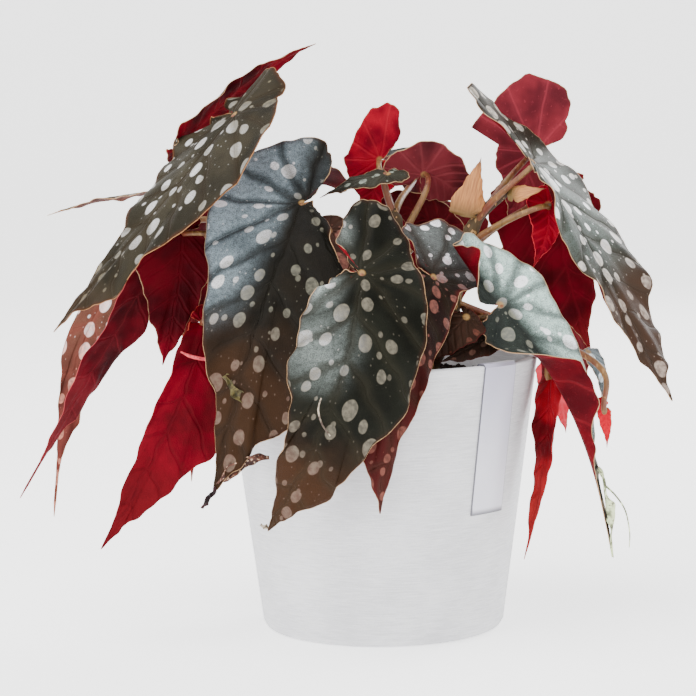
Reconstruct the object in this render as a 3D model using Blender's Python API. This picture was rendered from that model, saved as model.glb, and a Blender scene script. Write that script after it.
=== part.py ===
"""Potted polka dot begonia: a white tapered pot, soil, three leafy canes, and each leaf as a thin blade.

The origin is the middle of the pot's foot, +Z is up and the plant's front looks along -Y. Places of the plant
are written in millimetres and turned into metres where a mesh is made.
"""

import bmesh
import bpy
import numpy as np

MM = 0.001

# Pot and soil
POT_HEIGHT = 130.5
RIM_RADIUS = 75.0
FOOT_RADIUS = 57.5
WALL = 4.0
FLOOR = 6.0
FOOT_ROUND = 3.5
RIM_ROUND = 1.2
POT_SIDES = 48
SOIL_BELOW_RIM = 13.0
SOIL_CROWN = 4.0
SOIL_LUMPS = 0.8
GAP = 0.3

# Blank label strip, hooked over the rim
LABEL_WIDTH = 21.8
LABEL_DROP = 70.0
LABEL_HOOK = 11.0
LABEL_THICK = 0.6
LABEL_ANGLE = 46.7
LABEL_STEPS = 6

# Leaves and stems
BLADE_THICK = 0.8
CANE_DEPTH = 45.0
CANE_SIDES = 8
CANE_STEPS = 4
PETIOLE_SIDES = 5
PETIOLE_RADII = (1.9, 1.2)
PETIOLE_STEPS = 6
PETIOLE_INSET = 1.5
PETIOLE_CLEAR = 0.7

# The outline of one blade for a midrib of length 1 from the leaf's joint to its tip: the narrow half, the tip,
# the broad half, and the lobe that stands behind the joint.
OUTLINE = (
    (-0.004, -0.014),
    (0.00, -0.10),
    (0.035, -0.165),
    (0.11, -0.20),
    (0.26, -0.205),
    (0.45, -0.16),
    (0.65, -0.095),
    (0.83, -0.038),
    (0.93, -0.012),
    (1.00, 0.00),
    (0.93, 0.014),
    (0.85, 0.045),
    (0.70, 0.115),
    (0.50, 0.205),
    (0.28, 0.285),
    (0.06, 0.32),
    (-0.14, 0.275),
    (-0.27, 0.145),
    (-0.30, 0.00),
    (-0.24, -0.115),
    (-0.13, -0.145),
    (-0.045, -0.075),
)
LOBE_REACH = 0.30
TAIL_START = 0.95
CREASE = 0.03
CURL_START = 0.08
CURL_END = 0.33
RING_SPACING = 1.5
SMALL_NOTCH = 0.09


def leaf(base, middle, tip, faces, cane, height, **shape):
    """One leaf: three points of its midrib, the way its upper face looks, and the cane that carries it."""
    given = dict(base=base, middle=middle, tip=tip, faces=faces, tip_faces=faces, cane=cane, height=height)
    usual = dict(
        broad=1,
        width=1.0,
        broad_width=1.0,
        narrow_width=1.0,
        late=0.0,
        narrow_late=0.0,
        lobe=1.0,
        lobe_width=1.0,
        lobe_bend=0.0,
        fold=(-5, -10),
        lobe_fold=None,
        late_fold=None,
        tail=0.0,
        wave=0.015,
        waves=9,
        petiole_from=None,
        petiole_over=None,
        per=2,
        rings=3,
        small=False,
    )
    if shape.get("small"):
        usual.update(per=1, rings=2)
    return {**usual, **given, **shape}


LEAVES = {
    "leaf_tall_left": leaf(
        (-67, -25, 246), (-103, -39, 202), (-153, -30, 146), (-0.70, -0.45, 0.55), "left", 205,
        width=0.8, broad_width=0.85, narrow_width=1.6, late=0.8, narrow_late=-1.1, lobe=0.75,
        lobe_width=0.75, fold=(-10, -5), lobe_fold=(-30, -30),
    ),
    "leaf_top_left_red": leaf(
        (-95, 4, 229), (-63, 7, 260), (-29, 7, 279), (-0.45, 0.55, 0.70), "left", 200, width=0.7,
        lobe=0.3, rings=2,
    ),
    "leaf_far_left_red": leaf(
        (-104, -6, 178), (-131, -9, 135), (-173, -12, 65), (-0.50, 0.65, 0.50), "left", 165, broad=-1,
        width=0.38, broad_width=0.75, late=0.5, lobe=0.3, tail=0.1, rings=2,
    ),
    "leaf_far_left_brown": leaf(
        (-114, 18, 180), (-144, 14, 135), (-159, 5, 53), (-0.30, -0.85, 0.20), "left", 172, width=0.42,
        narrow_width=0.75, narrow_late=0.6, lobe=0.5, tail=0.1, rings=2, petiole_from=(0.9, 0.1, -0.2),
    ),
    "leaf_thin_left": leaf(
        (-110, 24, 208), (-130, 24, 206), (-161, 24, 198), (0.0, 0.1, 1.0), "left", 190, width=0.7,
        small=True,
    ),
    "leaf_inner_left_red": leaf(
        (-92, -21, 192), (-96, -24, 160), (-103, -22, 129), (-0.2, 0.9, 0.3), "left", 160, width=0.95,
        late=0.6, lobe=0.5,
        rings=2, petiole_from=(0.9, -0.3, 0.1),
    ),
    "leaf_low_left_red": leaf(
        (-83, -36, 150), (-94, -50, 113), (-131, -52, 47), (-0.15, 0.95, -0.1), "left", 140, broad=-1,
        width=0.95, broad_width=0.6, narrow_width=0.35, late=1.1, lobe=0.3, lobe_width=0.4,
        petiole_over=(-72, -40, 168),
    ),
    "leaf_front_left": leaf(
        (-36, -35, 205), (-57, -66, 150), (-78, -63, 75), (-0.20, -0.90, 0.35), "left", 165, broad=-1,
        width=0.85, broad_width=1.1, narrow_width=0.37, late=-0.4, narrow_late=11.3, lobe=0.85,
        lobe_bend=-20, fold=(0, -2),
    ),
    "leaf_front_gap": leaf(
        (-24, -18, 191), (-30, -38, 163), (-35, -48, 136), (0.0, -0.90, 0.30), "middle", 150, width=0.7,
        lobe=0.5, small=True,
    ),
    "leaf_front_middle": leaf(
        (-9, -75, 175), (-23, -98, 118), (-53, -72, 58), (0.10, -0.95, 0.30), "middle", 140,
        width=0.85, broad_width=0.72, narrow_width=0.75, late=1.3, fold=(-8, -15), lobe_fold=(-15, -30),
    ),
    "leaf_front_right": leaf(
        (24, -50, 171), (7, -84, 123), (-2, -77, 66), (0.30, -0.90, 0.20), "middle", 135, width=0.95,
        broad_width=0.41, narrow_width=0.7, late=0.3, narrow_late=1.5, lobe_width=1.9, lobe=1.2,
        lobe_bend=15, fold=(-10, -20),
    ),
    "leaf_right_rim": leaf(
        (55, -40, 157), (88, -52, 106), (105, -50, 45), (0.25, -0.85, 0.40), "right", 140, width=0.85,
        broad_width=0.75, narrow_width=0.75, late=-0.45, narrow_late=1.7, lobe=0.95,
        lobe_fold=(-10, 230), fold=(0, -20), late_fold=(0, 130), lobe_bend=-20, tail=0.2,
    ),
    "leaf_right_low": leaf(
        (52, -34, 146), (41, -46, 138), (26, -54, 132), (0.0, -0.80, 0.60), "right", 130, width=1.0,
        lobe=0.3, fold=(0, 0), small=True, rings=3, petiole_over=(50, -28, 140),
    ),
    "leaf_tall_right": leaf(
        (73, -5, 222), (98.3, -10, 183), (138, -15, 108), (0.85, -0.30, 0.50), "right", 190,
        tip_faces=(0.5, -0.75, 0.4), width=0.8, narrow_width=0.45, late=0.9, narrow_late=1.8, lobe=1.2,
        fold=(0, 0),
    ),
    "leaf_top_right": leaf(
        (77, 36, 226), (72, 34, 210), (63, 30, 191), (0.20, 0.90, 0.30), "right", 185,
        width=1.5, lobe=3.1, lobe_width=1.8, rings=2,
    ),
    "leaf_right_back": leaf(
        (87, 48, 207), (94, 48, 166), (105, 42, 126), (0.10, 0.95, 0.10), "right", 175, width=1.25,
        lobe=0.4, rings=2,
    ),
    "leaf_young_red": leaf(
        (81, 5, 201), (80, 2, 187), (73, 0, 171), (0.0, 0.9, 0.3), "right", 180, small=True,
    ),
    "leaf_middle_maroon": leaf(
        (22, 16, 216), (36, 20, 209), (46, 22, 194), (0.10, 0.90, 0.35), "middle", 180,
        broad=-1, width=1.6, lobe=2.0, rings=2,
    ),
    "leaf_top_middle": leaf(
        (1, 24, 223), (-2, 25, 208), (-5, 26, 192), (0.10, 0.90, 0.10), "middle", 190, width=1.6, lobe=2.9,
        rings=2,
    ),
    "leaf_middle_back": leaf(
        (30, 38, 188), (11, 38, 200), (-13, 36, 200), (0.10, 0.80, 0.50), "middle", 170, width=0.9,
        small=True,
    ),
    "leaf_edge_on": leaf(
        (4, -1, 217), (-10, -3, 214), (-28, -3, 206), (0.0, -0.50, 0.87), "middle", 195, width=0.8,
        small=True,
    ),
    "leaf_hanging_right": leaf(
        (80, -25, 122), (75, -34, 81), (66, -32, 36), (0.85, 0.50, 0.10), "right", 135, width=0.42, rings=2,
        petiole_over=(74, -22, 138),
    ),
    "leaf_pink_right": leaf(
        (84, 8, 120), (87, 5, 107), (89, 3, 91), (0.3, 0.9, 0.1), "right", 140, width=1.0, small=True,
        petiole_over=(77, 6, 138),
    ),
    "leaf_small_dotted": leaf(
        (99, -5, 131), (104, -8, 122), (105, -8, 109), (0.6, -0.6, 0.5), "right", 150, lobe=0.3, small=True,
        petiole_over=(89, 5, 131),
    ),
    "leaf_small_red": leaf(
        (106, -14, 105), (107, -14, 97), (107, -14, 86), (0.3, 0.9, 0.1), "right", 155, width=0.7, small=True,
        petiole_over=(100, -16, 128),
    ),
    "leaf_inside_right": leaf(
        (39, -46, 152), (30, -50, 143), (20, -52, 130), (-0.1, -0.9, 0.3), "right", 138, width=1.2, lobe=0.5,
        small=True, petiole_over=(42, -24, 148),
    ),
    "leaf_back_left": leaf(
        (-48, 42, 215), (-80, 74, 188), (-100, 92, 120), (-0.50, 0.70, 0.50), "left", 190, fold=(-8, -20),
        rings=2,
    ),
    "leaf_back_middle": leaf(
        (10, 66, 196), (18, 98, 162), (20, 104, 84), (0.10, 0.90, 0.35), "middle", 160, fold=(-8, -30),
        broad=-1,
        lobe=0.5, rings=2,
    ),
    "leaf_back_low": leaf(
        (-22, 62, 160), (-34, 90, 125), (-46, 88, 55), (-0.10, 0.90, 0.30), "middle", 140, fold=(-8, -15),
        width=0.9, rings=2,
    ),
    "leaf_back_right": leaf(
        (78, 69, 172), (98, 88, 140), (108, 90, 78), (0.55, 0.65, 0.50), "right", 165, fold=(-8, -30),
        width=0.85, lobe=0.35, rings=2,
    ),
    "leaf_back_low_left": leaf(
        (-64, 40, 150), (-86, 62, 118), (-96, 66, 60), (-0.65, 0.60, 0.40), "left", 135, width=0.8,
        lobe=0.8, rings=2,
    ),
    "leaf_back_top": leaf(
        (20, 52, 228), (22, 82, 219), (22, 108, 188), (0.0, 0.50, 0.85), "middle", 195, width=0.9,
        small=True,
    ),
}

# Papery sheaths left where a leaf unfolded, shaped as narrow blades
STIPULES = {
    "stipule_tall": leaf(
        (43, 4.1, 197), (46, 3.4, 211), (49, 2.1, 224), (0.2, -0.9, 0.1), "right", 0, width=1.1,
        lobe=0.2, small=True,
    ),
    "stipule_right": leaf(
        (64, 0, 205.3), (71, -4, 207.3), (79, -7, 209.3), (0.2, -0.9, 0.3), "right", 0, width=0.9,
        lobe=0.6, small=True,
    ),
}
# Canes: their middle lines above the soil, and their radius at the soil and at the top.
CANES = {
    "left": dict(line=((-20, 8, 120), (-30, 10, 150), (-48, 10, 185), (-70, 8, 215)), radii=(4.2, 2.6)),
    "middle": dict(line=((0, 0, 120), (3, -2, 150), (9, 2, 180), (6, 4, 200)), radii=(4.0, 2.4)),
    "right": dict(line=((24, 5, 120), (34, 6, 150), (45, 10, 190), (62, 5, 209)), radii=(4.2, 2.4)),
}


def unit(vectors):
    """The vectors at length 1."""
    vectors = np.asarray(vectors, float)
    return vectors / np.linalg.norm(vectors, axis=-1, keepdims=True)


def smooth_ring(points, per):
    """A closed smooth line through the points, with the given number of steps between two of them."""
    points = np.asarray(points, float)
    before, after, beyond = (np.roll(points, shift, axis=0) for shift in (1, -1, -2))
    steps = np.arange(per)[None, :, None] / per
    here, before, after, beyond = (part[:, None, :] for part in (points, before, after, beyond))
    ring = 2 * here + (after - before) * steps
    ring = ring + (2 * before - 5 * here + 4 * after - beyond) * steps**2
    ring = ring + (3 * here - before - 3 * after + beyond) * steps**3
    return 0.5 * ring.reshape(-1, 2)


def smooth_line(points, per):
    """An open smooth line through the points."""
    points = np.asarray(points, float)
    ends = (2 * points[0] - points[1], 2 * points[-1] - points[-2])
    padded = np.vstack([ends[0], points, ends[1]])
    line = []
    for before, here, after, beyond in zip(padded, padded[1:], padded[2:], padded[3:]):
        for step in np.arange(per) / per:
            slope = (after - before) * step
            square = (2 * before - 5 * here + 4 * after - beyond) * step**2
            cube = (3 * here - before - 3 * after + beyond) * step**3
            line.append(0.5 * (2 * here + slope + square + cube))
    return np.array(line + [points[-1]])


def blend_sides(lateral, broad, narrow):
    return np.where(lateral > 0, broad, narrow)


def midrib(shape, along):
    """Place, direction and upper normal of the midrib; the lobe bends about the blade's side axis."""
    base, middle, tip = (np.array(shape[name], float) for name in ("base", "middle", "tip"))
    bow = 2 * middle - 0.5 * (base + tip)
    fine = np.linspace(0, 1, 60)[:, None]
    curve = (1 - fine) ** 2 * base + 2 * fine * (1 - fine) * bow + fine**2 * tip
    travelled = np.concatenate([[0], np.cumsum(np.linalg.norm(np.diff(curve, axis=0), axis=1))])
    length = travelled[-1]
    share = np.clip(along, 0, 1)
    at = np.interp(share * length, travelled, fine[:, 0])[:, None]
    place = (1 - at) ** 2 * base + 2 * at * (1 - at) * bow + at**2 * tip
    ahead = unit((1 - at) * (bow - base) + at * (tip - bow))
    up = unit(shape["faces"]) * (1 - share[:, None]) + unit(shape["tip_faces"]) * share[:, None]
    up = unit(up - (up * ahead).sum(axis=1, keepdims=True) * ahead)
    start = unit(bow - base)
    rise = unit(shape["faces"])
    rise = unit(rise - rise @ start * start)
    reach = -np.minimum(along, 0) * length
    rate = np.radians(shape["lobe_bend"]) / (LOBE_REACH * length) or 1e-6
    angle = (rate * reach)[:, None]
    behind = (along < 0)[:, None]
    bent = base - np.sin(angle) / rate * start - (1 - np.cos(angle)) / rate * rise
    place = np.where(behind, bent, place)
    ahead = np.where(behind, np.cos(angle) * start + np.sin(angle) * rise, ahead)
    up = np.where(behind, np.cos(angle) * rise - np.sin(angle) * start, up)
    return place, ahead, up, length


def blade_surface(shape, per, rings):
    """Middle surface of a blade: its points, its triangles, and how many points lie round its edge."""
    outline = smooth_ring(OUTLINE, per)
    if shape["small"]:
        outline = outline[np.linalg.norm(outline, axis=1) > SMALL_NOTCH]
    around = len(outline)
    along, lateral = outline.T
    along = np.where(along < 0, along * shape["lobe"], along)
    along = np.where((along > 0) & (along < TAIL_START), along * (1 - shape["tail"]), along)
    lateral = lateral * shape["width"] * blend_sides(lateral, shape["broad_width"], shape["narrow_width"])
    late = shape["late"] + blend_sides(lateral, 0, shape["narrow_late"])
    lateral = lateral * (1 + late * np.clip(along, 0, 1))
    lateral = lateral * (1 + (shape["lobe_width"] - 1) * np.clip(-along / LOBE_REACH * 2, 0, 1))
    out = (np.arange(1, rings + 1) / rings) ** RING_SPACING
    along = np.concatenate([[0], np.outer(out, along).ravel()])
    lateral = np.concatenate([[0], np.outer(out, lateral).ravel()])
    reached = np.concatenate([[0], np.repeat(out, around)])
    turn = np.concatenate([[0], np.tile(np.arange(around) / around, rings)])
    place, ahead, up, length = midrib(shape, along)
    side = np.cross(up, ahead) * shape["broad"]
    spread = np.abs(lateral) * length
    fold = blend_sides(lateral, *shape["fold"])
    if shape["lobe_fold"]:
        back = np.clip(-along / LOBE_REACH, 0, 1)
        fold = fold + (blend_sides(lateral, *shape["lobe_fold"]) - fold) * back
    if shape["late_fold"]:
        curled = np.clip((along - CURL_START) / (CURL_END - CURL_START), 0, 1)
        fold = fold + (blend_sides(lateral, *shape["late_fold"]) - fold) * curled
    angle = np.radians(fold) * spread / (spread + CREASE * length)
    across = side * (np.sign(lateral) * spread * np.cos(angle))[:, None]
    points = place + across + up * (spread * np.sin(angle))[:, None]
    ripple = shape["wave"] * length * reached**3 * np.sin(2 * np.pi * shape["waves"] * turn)
    ripple = ripple * np.clip(spread / (0.1 * length), 0, 1)
    points = points + up * ripple[:, None]
    faces = [(0, 1 + i, 1 + (i + 1) % around) for i in range(around)]
    for ring in range(rings - 1):
        inner, outer = 1 + ring * around, 1 + (ring + 1) * around
        for i in range(around):
            j = (i + 1) % around
            faces += [(inner + i, outer + i, outer + j), (inner + i, outer + j, inner + j)]
    faces = np.array(faces)
    return points, faces if shape["broad"] > 0 else faces[:, ::-1], around


def thicken(points, faces, around, thickness):
    """A closed blade: the surface moved both ways along its normals, split alike on both faces, and a rim."""
    corners = points[faces]
    normals = np.zeros_like(points)
    across = np.cross(corners[:, 1] - corners[:, 0], corners[:, 2] - corners[:, 0])
    for corner in range(3):
        np.add.at(normals, faces[:, corner], across)
    normals = unit(normals)
    count = len(points)
    upper = points + normals * thickness / 2
    lower = points - normals * thickness / 2
    edge = np.arange(count - around, count)
    following = np.roll(edge, -1)
    if faces[0, 1] > faces[0, 2]:
        edge, following = following, edge
    wall = np.concatenate([
        np.stack([following, edge, edge + count], axis=1),
        np.stack([following, edge + count, following + count], axis=1),
    ])
    return np.vstack([upper, lower]), np.vstack([faces, faces[:, ::-1] + count, wall])


def tube(line, radii, sides):
    """A closed tube along a line, with its ends filled."""
    line = np.asarray(line, float)
    radii = np.broadcast_to(np.asarray(radii, float), len(line))
    ahead = unit(np.gradient(line, axis=0))
    across = unit(np.cross(ahead[0], (0.31, 0.87, 0.38)))
    rings = []
    for place, way, radius in zip(line, ahead, radii):
        across = unit(across - across @ way * way)
        other = np.cross(way, across)
        turn = 2 * np.pi * np.arange(sides)[:, None] / sides
        rings.append(place + radius * (np.cos(turn) * across + np.sin(turn) * other))
    points = np.vstack(rings + [line[:1], line[-1:]])
    first, last = len(points) - 2, len(points) - 1
    faces = []
    for ring in range(len(line) - 1):
        low, high = ring * sides, (ring + 1) * sides
        for i in range(sides):
            j = (i + 1) % sides
            faces += [(low + i, low + j, high + j), (low + i, high + j, high + i)]
    top = (len(line) - 1) * sides
    for i in range(sides):
        j = (i + 1) % sides
        faces += [(first, j, i), (last, top + i, top + j)]
    return points, np.array(faces)


def petiole_line(shape, start):
    """From inside the cane to just under the blade: square to it, from a given side, or over a point."""
    base = np.array(shape["base"], float)
    _, ahead, up, length = midrib(shape, np.array([0.0, 0.02]))
    radius = PETIOLE_RADII[1]
    way = -up[0] if shape["petiole_from"] is None else unit(shape["petiole_from"])
    if shape["petiole_over"]:
        way = unit(shape["petiole_over"] - base)
    tilt = np.sqrt(1 - min(1.0, (way @ up[0]) ** 2))
    crease = radius / (radius + CREASE * length)
    droop = radius * np.sin(np.radians(max(0, -min(shape["fold"]))) * crease)
    clear = BLADE_THICK / 2 + PETIOLE_CLEAR + radius * tilt + droop
    end = base + ahead[0] * PETIOLE_INSET - up[0] * clear
    if shape["petiole_over"]:
        return smooth_line([start, shape["petiole_over"], end], PETIOLE_STEPS // 2)
    reach = np.linalg.norm(end - start)
    leave = start + unit(end - start + (0, 0, 0.5 * reach)) * reach * 0.35
    arrive = end + way * reach * 0.35
    at = np.linspace(0, 1, PETIOLE_STEPS)[:, None]
    near = (1 - at) ** 3 * start + 3 * at * (1 - at) ** 2 * leave
    return near + 3 * at**2 * (1 - at) * arrive + at**3 * end


def cane_line(name):
    """The middle line of a cane, from its foot in the soil to its top."""
    line = CANES[name]["line"]
    foot = np.array(line[0], float) - (0, 0, CANE_DEPTH)
    return smooth_line(np.vstack([foot, line]), CANE_STEPS)


def cane_radii(name):
    return np.linspace(*CANES[name]["radii"], len(cane_line(name)))


def stem_tubes(name):
    """The tubes of one leafy stem: its cane, then the petiole of each of its leaves."""
    line = cane_line(name)
    tubes = [tube(line, cane_radii(name), CANE_SIDES)]
    for shape in LEAVES.values():
        if shape["cane"] != name:
            continue
        start = np.array([np.interp(shape["height"], line[:, 2], line[:, axis]) for axis in range(3)])
        path = petiole_line(shape, start)
        tubes.append(tube(path, np.linspace(*PETIOLE_RADII, len(path)), PETIOLE_SIDES))
    return tubes


# Blender objects
def finish(name, colour, roughness, metallic=0.0):
    """A plain Principled material."""
    material = bpy.data.materials.new(name)
    material.use_nodes = True
    shader = material.node_tree.nodes["Principled BSDF"]
    shader.inputs["Base Color"].default_value = (*colour, 1.0)
    shader.inputs["Roughness"].default_value = roughness
    shader.inputs["Metallic"].default_value = metallic
    material.diffuse_color = (*colour, 1.0)
    return material


def add_object(name, mesh, material, collection=None):
    thing = bpy.data.objects.new(name, mesh)
    (collection or bpy.context.scene.collection).objects.link(thing)
    if material:
        mesh.materials.append(material)
    return thing


def mesh_from(name, points, faces):
    """A mesh in metres from points in millimetres."""
    mesh = bpy.data.meshes.new(name)
    mesh.from_pydata((np.asarray(points) * MM).tolist(), [], np.asarray(faces).tolist())
    mesh.update()
    return mesh


def mesh_from_bmesh(name, shape):
    mesh = bpy.data.meshes.new(name)
    bmesh.ops.recalc_face_normals(shape, faces=shape.faces)
    shape.to_mesh(mesh)
    shape.free()
    mesh.shade_smooth()
    mesh.set_sharp_from_angle(angle=np.radians(35))
    return mesh


def turned(name, profile):
    """A profile of (radius, height) turned once round the pot's axis; its two ends lie on the axis."""
    shape = bmesh.new()
    corners = [shape.verts.new((radius * MM, 0, height * MM)) for radius, height in profile]
    edges = [shape.edges.new(pair) for pair in zip(corners, corners[1:])]
    bmesh.ops.spin(
        shape, geom=corners + edges, cent=(0, 0, 0), axis=(0, 0, 1), angle=2 * np.pi,
        steps=POT_SIDES, use_merge=True,
    )
    bmesh.ops.remove_doubles(shape, verts=shape.verts, dist=0.001 * MM)
    return mesh_from_bmesh(name, shape)


def outer_radius(height):
    return FOOT_RADIUS + (RIM_RADIUS - FOOT_RADIUS) * height / POT_HEIGHT


def inner_radius(height):
    return outer_radius(height) - WALL


def pot_profile():
    foot = [(0, 0), (FOOT_RADIUS - FOOT_ROUND, 0)]
    for turn in np.radians((30, 60)):
        foot.append((FOOT_RADIUS - FOOT_ROUND * (1 - np.sin(turn)), FOOT_ROUND * (1 - np.cos(turn))))
    wall = [(outer_radius(height), height) for height in (FOOT_ROUND, POT_HEIGHT - RIM_ROUND)]
    rim = [(RIM_RADIUS - RIM_ROUND, POT_HEIGHT), (RIM_RADIUS - WALL + RIM_ROUND, POT_HEIGHT)]
    inside = [(inner_radius(height), height) for height in (POT_HEIGHT - RIM_ROUND, FLOOR)]
    return foot + wall + rim + inside + [(0, FLOOR)]


def soil_mesh(name):
    """The potting mix: it fills the pot to below its rim and is a little uneven on top."""
    top = POT_HEIGHT - SOIL_BELOW_RIM
    low = FLOOR + GAP
    profile = [(0, low), (inner_radius(low) - GAP, low), (inner_radius(top) - GAP, top)]
    edge = inner_radius(top) - GAP
    profile += [(edge * share, top + SOIL_CROWN * (1 - share**2)) for share in (0.8, 0.55, 0.3)]
    mesh = turned(name, profile + [(0, top + SOIL_CROWN)])
    for vertex in mesh.vertices:
        x, y, z = vertex.co / MM
        if z > top + 0.1:
            vertex.co.z += MM * SOIL_LUMPS * np.sin(0.21 * x + 0.4) * np.cos(0.17 * y - 0.7)
    return mesh


def label_mesh(name):
    """A thin strip that follows the wall, goes over the rim and ends a little way down inside."""
    low, high = POT_HEIGHT - LABEL_DROP, POT_HEIGHT + GAP
    hook = POT_HEIGHT - LABEL_HOOK
    near = [(outer_radius(low) + GAP, low), (RIM_RADIUS + GAP, high)]
    near += [(RIM_RADIUS - WALL - GAP, high), (inner_radius(hook) - GAP, hook)]
    far = [(near[0][0] + LABEL_THICK, low), (near[1][0] + LABEL_THICK, high + LABEL_THICK)]
    far += [(near[2][0] - LABEL_THICK, high + LABEL_THICK), (near[3][0] - LABEL_THICK, hook)]
    profile = near + far[::-1]
    middle = np.radians(LABEL_ANGLE)
    shape = bmesh.new()
    rings = []
    for across in np.linspace(-LABEL_WIDTH / 2, LABEL_WIDTH / 2, LABEL_STEPS + 1):
        ring = []
        for radius, z in profile:
            angle = middle + across / radius
            corner = (radius * np.sin(angle) * MM, -radius * np.cos(angle) * MM, z * MM)
            ring.append(shape.verts.new(corner))
        rings.append(ring)
    for first, second in zip(rings, rings[1:]):
        for i, corner in enumerate(first):
            j = (i + 1) % len(first)
            shape.faces.new((corner, first[j], second[j], second[i]))
    shape.faces.new(rings[0])
    shape.faces.new(rings[-1])
    return mesh_from_bmesh(name, shape)


def fused(name, tubes, material):
    """One body from tubes that cross, by a Boolean union on a collection of them."""
    group = bpy.data.collections.new(name + "_tubes")
    bpy.context.scene.collection.children.link(group)
    meshes = [mesh_from(f"{name}_tube_{i}", *tube_shape) for i, tube_shape in enumerate(tubes)]
    stem = add_object(name, meshes[0], None)
    for mesh in meshes[1:]:
        add_object(mesh.name, mesh, None, group)
    union = stem.modifiers.new("union", "BOOLEAN")
    union.operation = "UNION"
    union.operand_type = "COLLECTION"
    union.collection = group
    union.solver = "MANIFOLD"
    bpy.context.view_layer.update()
    whole = bpy.data.meshes.new_from_object(stem.evaluated_get(bpy.context.evaluated_depsgraph_get()))
    stem.modifiers.remove(union)
    stem.data = whole
    whole.name = name
    whole.materials.clear()
    whole.materials.append(material)
    whole.shade_smooth()
    for thing in list(group.objects):
        bpy.data.objects.remove(thing)
    bpy.data.collections.remove(group)
    return stem


def drill(body, name, cane):
    """A plain hole for one cane, from its foot up out of the soil."""
    line = cane_line(cane)
    line = line[line[:, 2] < POT_HEIGHT]
    line[0, 2] -= GAP
    radii = cane_radii(cane)[: len(line)] + GAP
    cutter = add_object(name, mesh_from(name, *tube(line, radii, CANE_SIDES)), None)
    cutter.hide_render = True
    cutter.display_type = "WIRE"
    cut = body.modifiers.new(name, "BOOLEAN")
    cut.operation = "DIFFERENCE"
    cut.solver = "EXACT"
    cut.object = cutter


def blade_object(name, shape, material):
    points, faces, around = blade_surface(shape, shape["per"], shape["rings"])
    mesh = mesh_from(name, *thicken(points, faces, around, BLADE_THICK))
    mesh.shade_smooth()
    mesh.set_sharp_from_angle(angle=np.radians(60))
    return add_object(name, mesh, material)


for old in list(bpy.data.objects):
    bpy.data.objects.remove(old, do_unlink=True)

white_clay = finish("white_clay", (0.78, 0.78, 0.80), 0.75)
potting_mix = finish("potting_mix", (0.06, 0.035, 0.02), 0.95)
label_film = finish("label_film", (0.66, 0.65, 0.74), 0.30)
cane_skin = finish("cane_skin", (0.30, 0.20, 0.07), 0.50)
leaf_green = finish("leaf_green", (0.05, 0.09, 0.06), 0.35)
leaf_red = finish("leaf_red", (0.45, 0.02, 0.03), 0.45)
papery_tan = finish("papery_tan", (0.55, 0.36, 0.15), 0.60)

add_object("pot", turned("pot", pot_profile()), white_clay)
soil = add_object("soil", soil_mesh("soil"), potting_mix)
add_object("rim_label", label_mesh("rim_label"), label_film)
for cane in CANES:
    fused("stem_" + cane, stem_tubes(cane), cane_skin)
    drill(soil, "cutter_hole_" + cane, cane)
for leaf_name, leaf_shape in LEAVES.items():
    blade_object(leaf_name, leaf_shape, leaf_red if "_red" in leaf_name else leaf_green)
for sheath_name, sheath_shape in STIPULES.items():
    blade_object(sheath_name, sheath_shape, papery_tan)
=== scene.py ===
"""The looks of a potted polka dot begonia, put together as the plant stands: view, pot, label, soil, leaves,
stems, sheaths and dried bits.

Lengths are written in millimetres and turned into metres where a mesh is made.
"""

import bpy
import numpy as np
from mathutils import Euler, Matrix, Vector


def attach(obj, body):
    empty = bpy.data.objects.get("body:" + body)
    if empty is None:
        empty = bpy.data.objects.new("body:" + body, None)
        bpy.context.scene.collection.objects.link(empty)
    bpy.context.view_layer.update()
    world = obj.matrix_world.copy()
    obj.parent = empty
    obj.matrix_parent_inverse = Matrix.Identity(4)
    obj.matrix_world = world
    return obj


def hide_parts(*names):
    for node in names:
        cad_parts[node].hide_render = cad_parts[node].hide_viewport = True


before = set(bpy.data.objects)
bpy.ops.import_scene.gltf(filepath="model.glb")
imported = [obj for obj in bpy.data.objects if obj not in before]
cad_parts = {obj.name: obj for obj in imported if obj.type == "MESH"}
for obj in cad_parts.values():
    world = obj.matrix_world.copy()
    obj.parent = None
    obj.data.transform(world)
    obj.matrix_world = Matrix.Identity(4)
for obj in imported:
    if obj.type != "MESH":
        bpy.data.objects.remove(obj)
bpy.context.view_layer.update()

MM = 0.001

# View: the photo was taken from 1.2 m away through a long lens, a little above the rim and looking slightly
# down. The plant stands on a pale table that sweeps up all round, under a wide soft lamp and two fill
# lamps.
CAMERA_AWAY = 1204.0
CAMERA_DOWN = 5.73
CAMERA_ROLL = -0.72
CAMERA_AIM = (-15.6, 0.0, 133.8)
LENS_PIXELS = 2512.0
PHOTO_PIXELS = 696.0
SENSOR = 36.0
SHADE_DIM = 0.2
SHADE_LIFT = 2.2
SHADE_BLUE = 0.03
SHADE_MOST = 0.9
TABLE_GLOW = 1.3
SKY_GLOW = 1.2
SWEEP = ((0.0, -0.3), (2600.0, -0.3), (3300.0, 60.0), (3900.0, 330.0), (4300.0, 900.0), (4450.0, 1700.0))

down = np.radians(CAMERA_DOWN)
camera_data = bpy.data.cameras.new("view")
camera_data.sensor_width = SENSOR
camera_data.lens = SENSOR * LENS_PIXELS / PHOTO_PIXELS
camera_data.clip_start = 0.05
camera_data.clip_end = 50.0
camera = bpy.data.objects.new("view", camera_data)
bpy.context.scene.collection.objects.link(camera)
away = np.array((0.0, -np.cos(down), np.sin(down))) * CAMERA_AWAY
camera.location = Vector((np.array(CAMERA_AIM) + away) * MM)
turned_down = Euler((np.pi / 2 - down, 0.0, 0.0)).to_quaternion()
camera.rotation_mode = "QUATERNION"
camera.rotation_quaternion = turned_down @ Euler((0.0, 0.0, np.radians(CAMERA_ROLL))).to_quaternion()
bpy.context.scene.camera = camera


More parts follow.
